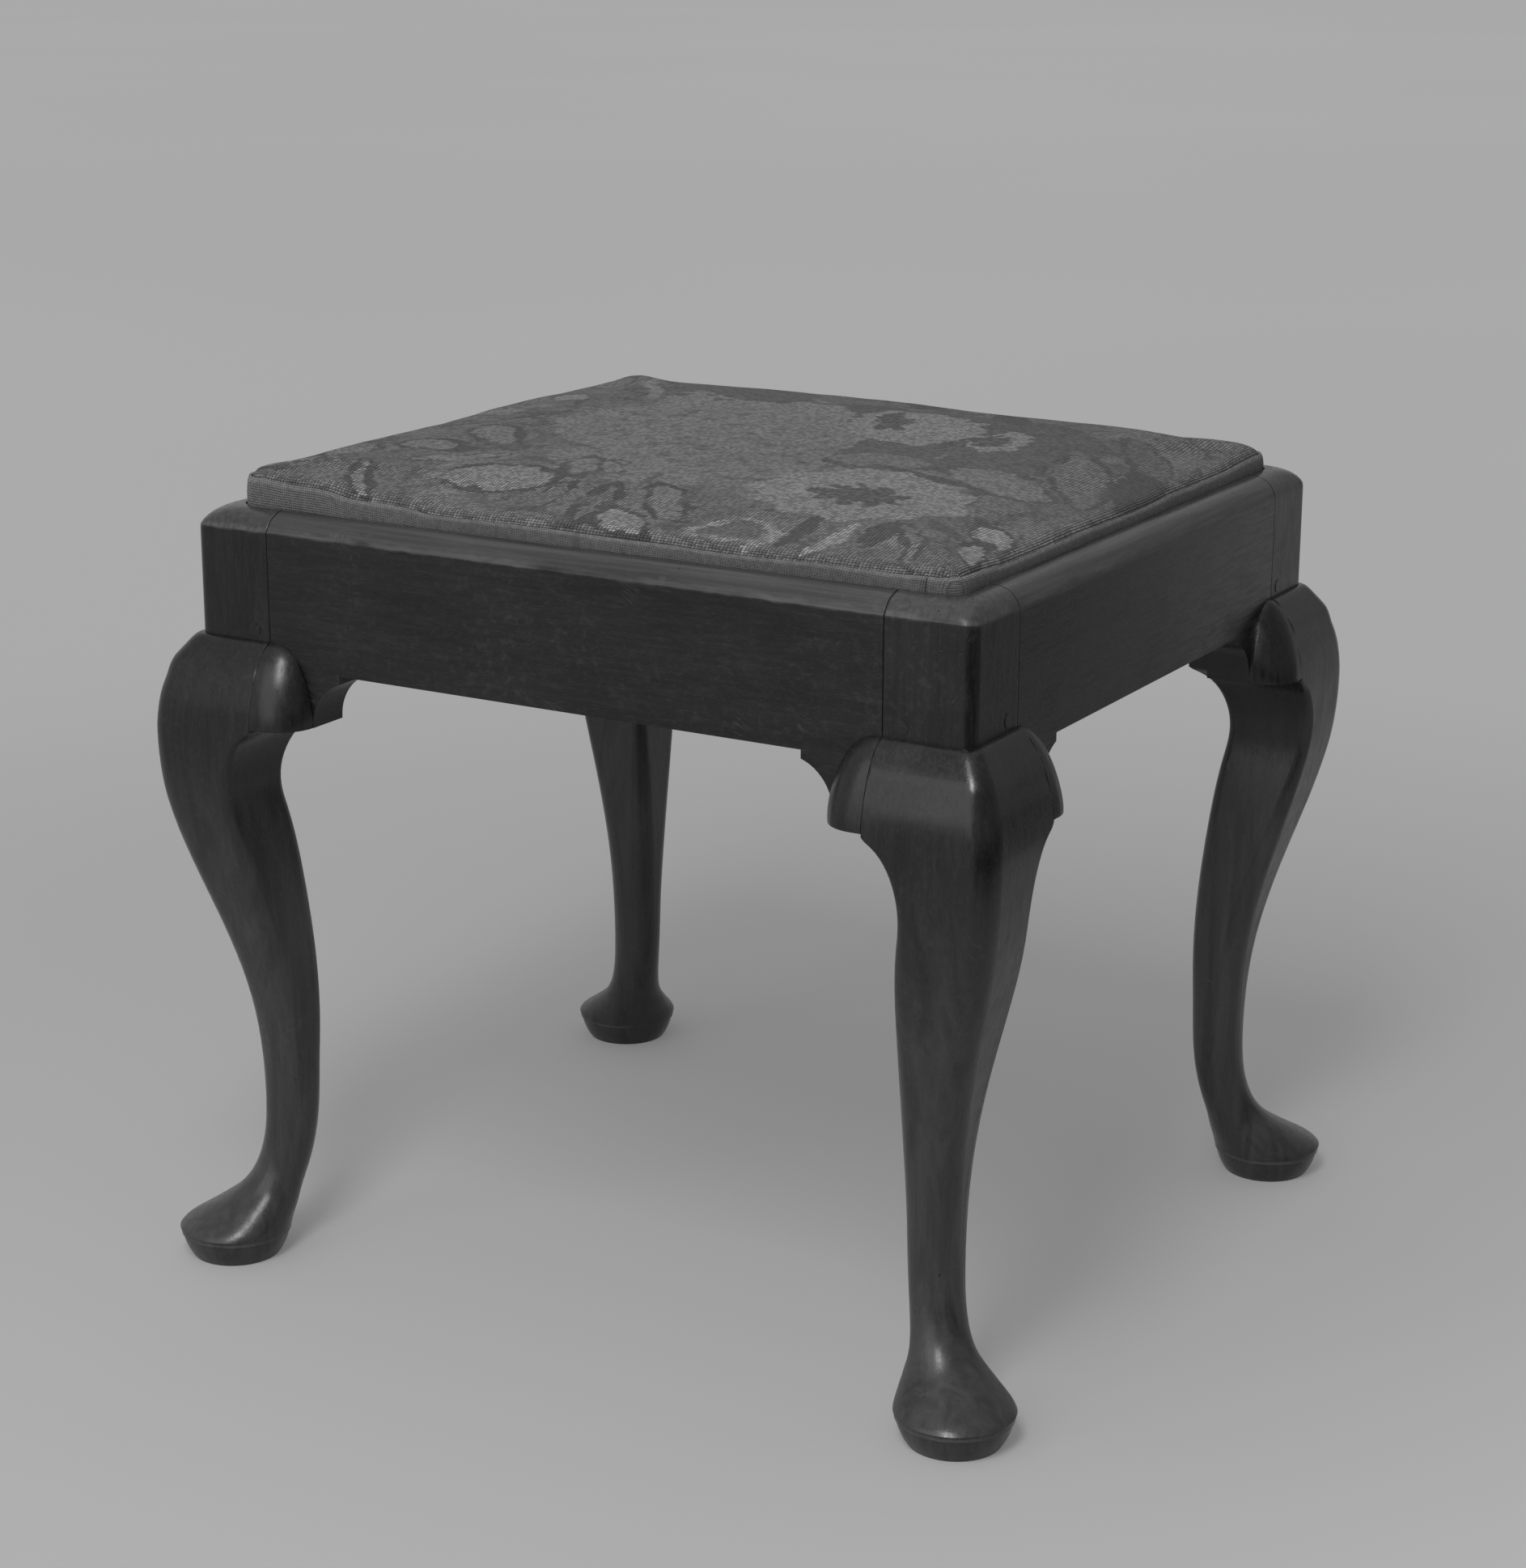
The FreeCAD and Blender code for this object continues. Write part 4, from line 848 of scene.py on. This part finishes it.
def needlework():
    """Floral needlework: pale flowers and leaves, one tone to each stitch."""
    material, g, shader, place = finish_of("floral needlework", 0.92)
    canvas = g.put("ShaderNodeAttribute", attribute_name="canvas").outputs["Vector"]
    stitches = g.group(STITCHES, {"Vector": canvas, "Pitch": 0.0020})
    cell = stitches["Cell"]
    shift = g.vector("ADD", g.wander(cell, 120.0, 1.0, 0.008), g.wander(cell, 26.0, 2.0, 0.022))
    spot = g.stretched(g.vector("ADD", cell, shift), (1.0, 1.0, 0.0))

    def leaf(x, y, turn, length, width, roundness=2.0, line=0.0):
        return g.group(LEAF, {"Vector": spot, "Centre": (x / 1000, y / 1000, 0.0),
                              "Turn": math.radians(turn), "Half length": length / 1000,
                              "Half width": width / 1000, "Roundness": roundness, "Line": line})

    def oval(x, y, turn, length, width):
        """Distance from an oval's middle, one at its rim, and the angle round it."""
        away = g.vector("SUBTRACT", spot, (x / 1000, y / 1000, 0.0))
        across, up, _ = g.split(away)
        turned = g.turned(away, -math.radians(turn))
        sized = g.vector("DIVIDE", turned, (length / 1000, width / 1000, 1.0))
        return g.vector("LENGTH", sized), g.math("ARCTAN2", up, across)

    def waves(angle, count):
        return g.math("SINE", g.times(angle, count))

    # ground, darker behind the two far flowers, with the pale field in the middle
    tone = g.ramp(g.noise(cell, 24.0, 3.0), 0.35, 0.7, 0.9, 1.02)
    for x, y, turn, length, width, value in (
        (70, 70, -30, 108, 82, 0.84), (-64, 92, -20, 66, 48, 1.10), (-50, 16, 0, 92, 78, 1.07),
        (0, -46, 0, 66, 58, 1.05), (-28, -84, 0, 62, 40, 1.05),
    ):
        tone = g.blend(leaf(x, y, turn, length, width)["Filling"], tone, value)
    mottled = g.ramp(g.noise(cell, 95.0, 2.0), 0.5, 0.68)
    middle = leaf(-20, -10, -35, 110, 62)["Filling"]
    tone = g.blend(g.times(g.times(mottled, middle), 0.8), tone, 0.82)

    # small sprigs filling the ground between the leaves, kept off the pale field
    sprigs = g.cells(spot, 30.0, "DISTANCE_TO_EDGE")
    border = g.minus(1.0, leaf(-25, 12, -25, 128, 92)["Filling"])
    stems = g.times(g.math("LESS_THAN", sprigs, 0.055),
                    g.math("GREATER_THAN", g.noise(cell, 30.0, 2.0), 0.5))
    tone = g.blend(g.times(g.times(stems, border), 0.75), tone, 0.76)
    buds = g.times(g.math("GREATER_THAN", sprigs, 0.30),
                   g.math("GREATER_THAN", g.noise(cell, 19.0, 2.0), 0.47))
    tone = g.blend(g.times(g.times(buds, border), 0.7), tone, 1.08)

    broken = g.ramp(g.noise(cell, 48.0, 2.0), 0.36, 0.48, 0.3, 1.0)
    uneven = g.ramp(g.noise(cell, 37.0, 2.0), 0.36, 0.64, 0.6, 1.6)
    for x, y, turn, length, width, roundness, line, inside, edge in NEEDLEWORK_LEAVES:
        one = leaf(x, y, turn, length, width, roundness, g.times(uneven, line))
        tone = g.blend(one["Filling"], tone, inside)
        if line:
            tone = g.blend(g.times(one["Outline"], broken), tone, edge)

    # the three open flowers, each with a scalloped rim, faint veins and a dark eye
    eye_tone = g.ramp(g.noise(cell, 260.0, 1.0), 0.45, 0.6, 0.7, 0.9)
    for flower, petals, eye in (
        ((105, -88, 0, 58, 54), 11.0, (106, -90, 0, 22, 21)),
        ((43, 89, -66, 53, 39), 13.0, (25, 94, -68, 27, 10)),
        ((104, 72, -76, 32, 16), 9.0, (98, 73, -75, 17, 9)),
    ):
        reach, angle = oval(*flower)
        rim = g.math("LESS_THAN", g.add(reach, g.times(waves(angle, petals), 0.055)), 1.0)
        tone = g.blend(rim, tone, 1.16)
        veins = g.math("GREATER_THAN", waves(angle, petals * 2.0), 0.80)
        tone = g.blend(g.times(g.times(veins, rim), 0.35), tone, 1.0)
        reach, angle = oval(*eye)
        inside_eye = g.math("LESS_THAN", g.add(reach, g.times(waves(angle, 9.0), 0.26)), 1.0)
        tone = g.blend(inside_eye, tone, eye_tone)

    thread = g.put("ShaderNodeTexWhiteNoise", {"Vector": cell}, noise_dimensions="3D")
    thread = g.ramp(thread.outputs["Value"], 0.0, 1.0, 0.62, 1.38)
    soil = g.ramp(g.noise(place, 7.0, 4.0), 0.35, 0.75, 1.04, 0.92)
    tone = g.times(g.times(g.math("POWER", tone, 3.0), thread), soil)
    # Painted shade: each stitch darkened towards its edges, darkest between the stitches.
    tone = g.times(g.times(tone, g.ramp(stitches["Height"], 0.0, 0.6, 0.22, 1.28)), 0.130)
    g.feed(shader.inputs["Base Color"], grey(g, tone))
    bumped(g, shader, g.add(stitches["Height"], g.times(g.noise(place, 700.0, 2.0), 0.4)), 0.0011)
    g.feed(shader.inputs["Sheen Weight"], 0.1)
    g.feed(shader.inputs["Sheen Roughness"], 0.5)
    return material


# ---------------------------------------------------------------- dressing

def recoat(nodes, material):
    """Give CAD nodes a better finish."""
    for name in nodes:
        piece = bpy.data.objects[name]
        for slot in piece.material_slots:
            slot.material = material


ALONG_X = (0.0, 0.0, 0.0)
ALONG_Y = (0.0, 0.0, math.radians(90))
UPRIGHT = (0.0, math.radians(90), 0.0)


def dress_wood():
    """Polish the show wood and give the hidden wood and the tacks their own finish."""
    recoat(("rail_front",), polished_wood("polished front rail", ALONG_X, 0.31))
    recoat(("rail_back",), polished_wood("polished back rail", ALONG_X, 1.7))
    recoat(("rail_left",), polished_wood("polished left rail", ALONG_Y, 2.9))
    recoat(("rail_right",), polished_wood("polished right rail", ALONG_Y, 4.3))
    for number, corner in enumerate(CORNERS):
        long_side, short_side = corner.split("_")
        upright = polished_wood(f"polished leg {long_side} {short_side}", UPRIGHT,
                                5.1 + number * 1.9, painted_leg_sheen=0.050)
        recoat((f"leg_{corner}", f"ear_{corner}", f"ear_{short_side}_{long_side}"), upright)
    recoat(("tenon_pegs",), polished_wood("polished pegs", ALONG_X, 8.2, 0.007))
    for number, corner in enumerate(CORNERS):
        block = plain_wood(f"glue block {number}", UPRIGHT, number * 2.3, 0.16)
        recoat((f"glue_block_{corner}",), block)
    recoat(("seat_rail_front", "seat_rail_back"),
           plain_wood("seat frame long rails", ALONG_X, 1.1, 0.32))
    recoat(("seat_rail_left", "seat_rail_right"),
           plain_wood("seat frame short rails", ALONG_Y, 3.7, 0.30))
    recoat(("webbing_tacks", "cover_tacks"), tack_steel())


def dress_seat():
    """Build the slip seat's soft layers."""
    form = seat_form()
    cover = needlework_cover(form, needlework())
    linen = linen_undercover(form, cloth("unbleached linen", 0.0007, 0.22, 0.42, 0.00012))
    hair_pad(form, curled_hair())
    bpy.data.objects.remove(form)
    tape = edge_tape(tape_cloth())
    jute = cloth("jute webbing", 0.0016, 0.14, 0.30, 0.0004)
    long_strips = webbing("webbing_strips_lengthwise", "webbing_lengthwise", 0.1929,
                          LENGTHWISE_PLACES, CROSSWISE_PLACES, False, 0, jute)
    cross_strips = webbing("webbing_strips_crosswise", "webbing_crosswise", 0.1699,
                           CROSSWISE_PLACES, LENGTHWISE_PLACES, True, 1, jute)
    sacking = sacking_sheet(cloth("hessian", 0.0012, 0.12, 0.27, 0.0003))


# ---------------------------------------------------------------- studio

def studio_floor():
    """Pale paper underfoot that fades into the backdrop's even grey."""
    shape = bmesh.new()
    bmesh.ops.create_circle(shape, cap_ends=True, segments=96, radius=FLOOR_RADIUS)
    floor = placed("studio_floor", shape)
    material, g, shader, place = finish_of("studio paper", 0.9)
    x, y, _ = g.split(place)
    # Painted pool of light: the paper and the backdrop's grey are paler towards the front right.
    lit = g.times(g.ramp(x, 0.2, 0.9), g.ramp(y, 0.0, 0.7, 1.0, 0.0))
    lit = g.add(1.0, g.times(lit, 0.22))
    paper = g.ramp(g.noise(place, 0.6, 2.0), 0.3, 0.7, FLOOR_TONE * 0.985, FLOOR_TONE * 1.015)
    g.feed(shader.inputs["Base Color"], grey(g, g.times(paper, lit)))
    g.feed(shader.inputs["Specular IOR Level"], 0.1)
    rays = g.put("ShaderNodeLightPath").outputs
    seen = g.math("MAXIMUM", rays["Is Glossy Ray"], rays["Is Transmission Ray"])
    seen = g.math("MAXIMUM", rays["Is Camera Ray"], seen)
    # Near the stool a third of what is seen is the backdrop's even glow, which lightens the stool's
    # shadow; far off it is all glow.
    far = g.ramp(g.vector("LENGTH", place), 0.45, 1.5, 0.34, 1.0)
    clouds = g.ramp(g.noise(place, 0.35, 2.0, 0.5), 0.3, 0.7, BACKDROP * 0.985, BACKDROP * 1.015)
    clouds = grey(g, g.times(clouds, lit))
    backdrop = g.put("ShaderNodeEmission", {"Color": clouds, "Strength": 1.0})
    mix = g.put("ShaderNodeMixShader", (g.times(seen, far), shader.outputs[0], backdrop.outputs[0]))
    g.feed(g.tree.nodes["Material Output"].inputs["Surface"], mix.outputs[0])
    floor.data.materials.append(material)


def dark_card(name, first, last, dark, pale):
    """A low card curved round the stool's right, seen only in the polish."""
    shape = bmesh.new()
    turn = math.radians(first)
    x, y = CARD_RADIUS * math.sin(turn), -CARD_RADIUS * math.cos(turn)
    bottom, top = shape.verts.new((x, y, CARD_LOW)), shape.verts.new((x, y, CARD_HIGH))
    edge = shape.edges.new((bottom, top))
    bmesh.ops.spin(shape, geom=[bottom, top, edge], cent=(0.0, 0.0, 0.0), axis=(0.0, 0.0, 1.0),
                   angle=math.radians(last - first), steps=16, use_merge=False, use_duplicate=False)
    card = placed(name, shape)
    material, g, shader, place = finish_of(name, 0.9)
    tone = g.ramp(g.noise(place, 9.0), 0.3, 0.7, dark, pale)
    g.feed(shader.inputs["Base Color"], grey(g, tone))
    card.data.materials.append(material)
    card.visible_camera = card.visible_shadow = card.visible_diffuse = False


def lamp(name, place, width, height, watts):
    """A softbox that looks at the stool."""
    light = bpy.data.lights.new(name, "AREA")
    light.shape = "RECTANGLE"
    light.size, light.size_y = width, height
    light.energy = watts
    holder = bpy.data.objects.new(name, light)
    holder.visible_camera = False
    bpy.context.scene.collection.objects.link(holder)
    facing = (Vector(LAMP_TARGET) - Vector(place)).to_track_quat("-Z", "Y")
    holder.matrix_world = Matrix.Translation(place) @ facing.to_matrix().to_4x4()


def studio_light():
    """Grey world, darker to the right; key softbox high in front, wide panel and overhead."""
    world = bpy.data.worlds.new("studio")
    world.use_nodes = True
    bpy.context.scene.world = world
    g = Graph(world.node_tree)
    seen = g.put("ShaderNodeLightPath").outputs["Is Camera Ray"]
    sky = world.node_tree.nodes["Background"]
    ahead = g.put("ShaderNodeTexCoord").outputs["Generated"]
    shaded = g.ramp(g.vector("DOT_PRODUCT", ahead, WORLD_DARK_SIDE), -0.6, 0.9,
                    WORLD_TONE * 1.10, WORLD_TONE * 0.55)
    g.feed(sky.inputs["Strength"], 1.0)
    g.feed(sky.inputs["Color"], grey(g, g.blend(seen, shaded, BACKDROP)))
    lamp("key softbox", (0.433, -1.616, 2.158), 0.62, 1.25, 36.0)
    lamp("front panel", (-0.532, -2.502, 1.440), 2.2, 2.0, 17.0)
    lamp("overhead softbox", (0.0, 0.1, 2.5), 2.2, 2.2, 5.0)


def camera():
    """The photograph's own view: 76 mm lens on a 36 mm high frame."""
    turn, pitch, roll = (math.radians(angle) for angle in (CAMERA_TURN, CAMERA_PITCH, CAMERA_ROLL))
    ahead = Vector((-math.sin(turn) * math.cos(pitch), math.cos(turn) * math.cos(pitch),
                    -math.sin(pitch)))
    level = Vector((math.cos(turn), math.sin(turn), 0.0))
    upward = level.cross(ahead)
    right = level * math.cos(roll) + upward * math.sin(roll)
    up = upward * math.cos(roll) - level * math.sin(roll)
    data = bpy.data.cameras.new("camera")
    data.sensor_fit = "VERTICAL"
    data.sensor_height = FILM_HEIGHT
    data.lens = CAMERA_FOCUS * FILM_HEIGHT
    holder = bpy.data.objects.new("camera", data)
    bpy.context.scene.collection.objects.link(holder)
    axes = Matrix((right, up, -ahead)).transposed().to_4x4()
    holder.matrix_world = Matrix.Translation(CAMERA_PLACE) @ axes
    bpy.context.scene.camera = holder


bpy.context.scene.view_settings.view_transform = "Standard"
camera()
dress_wood()
dress_seat()
studio_floor()
dark_card("black card", 24, 90, 0.006, 0.010)
dark_card("grey card", 91, 146, 0.16, 0.20)
studio_light()
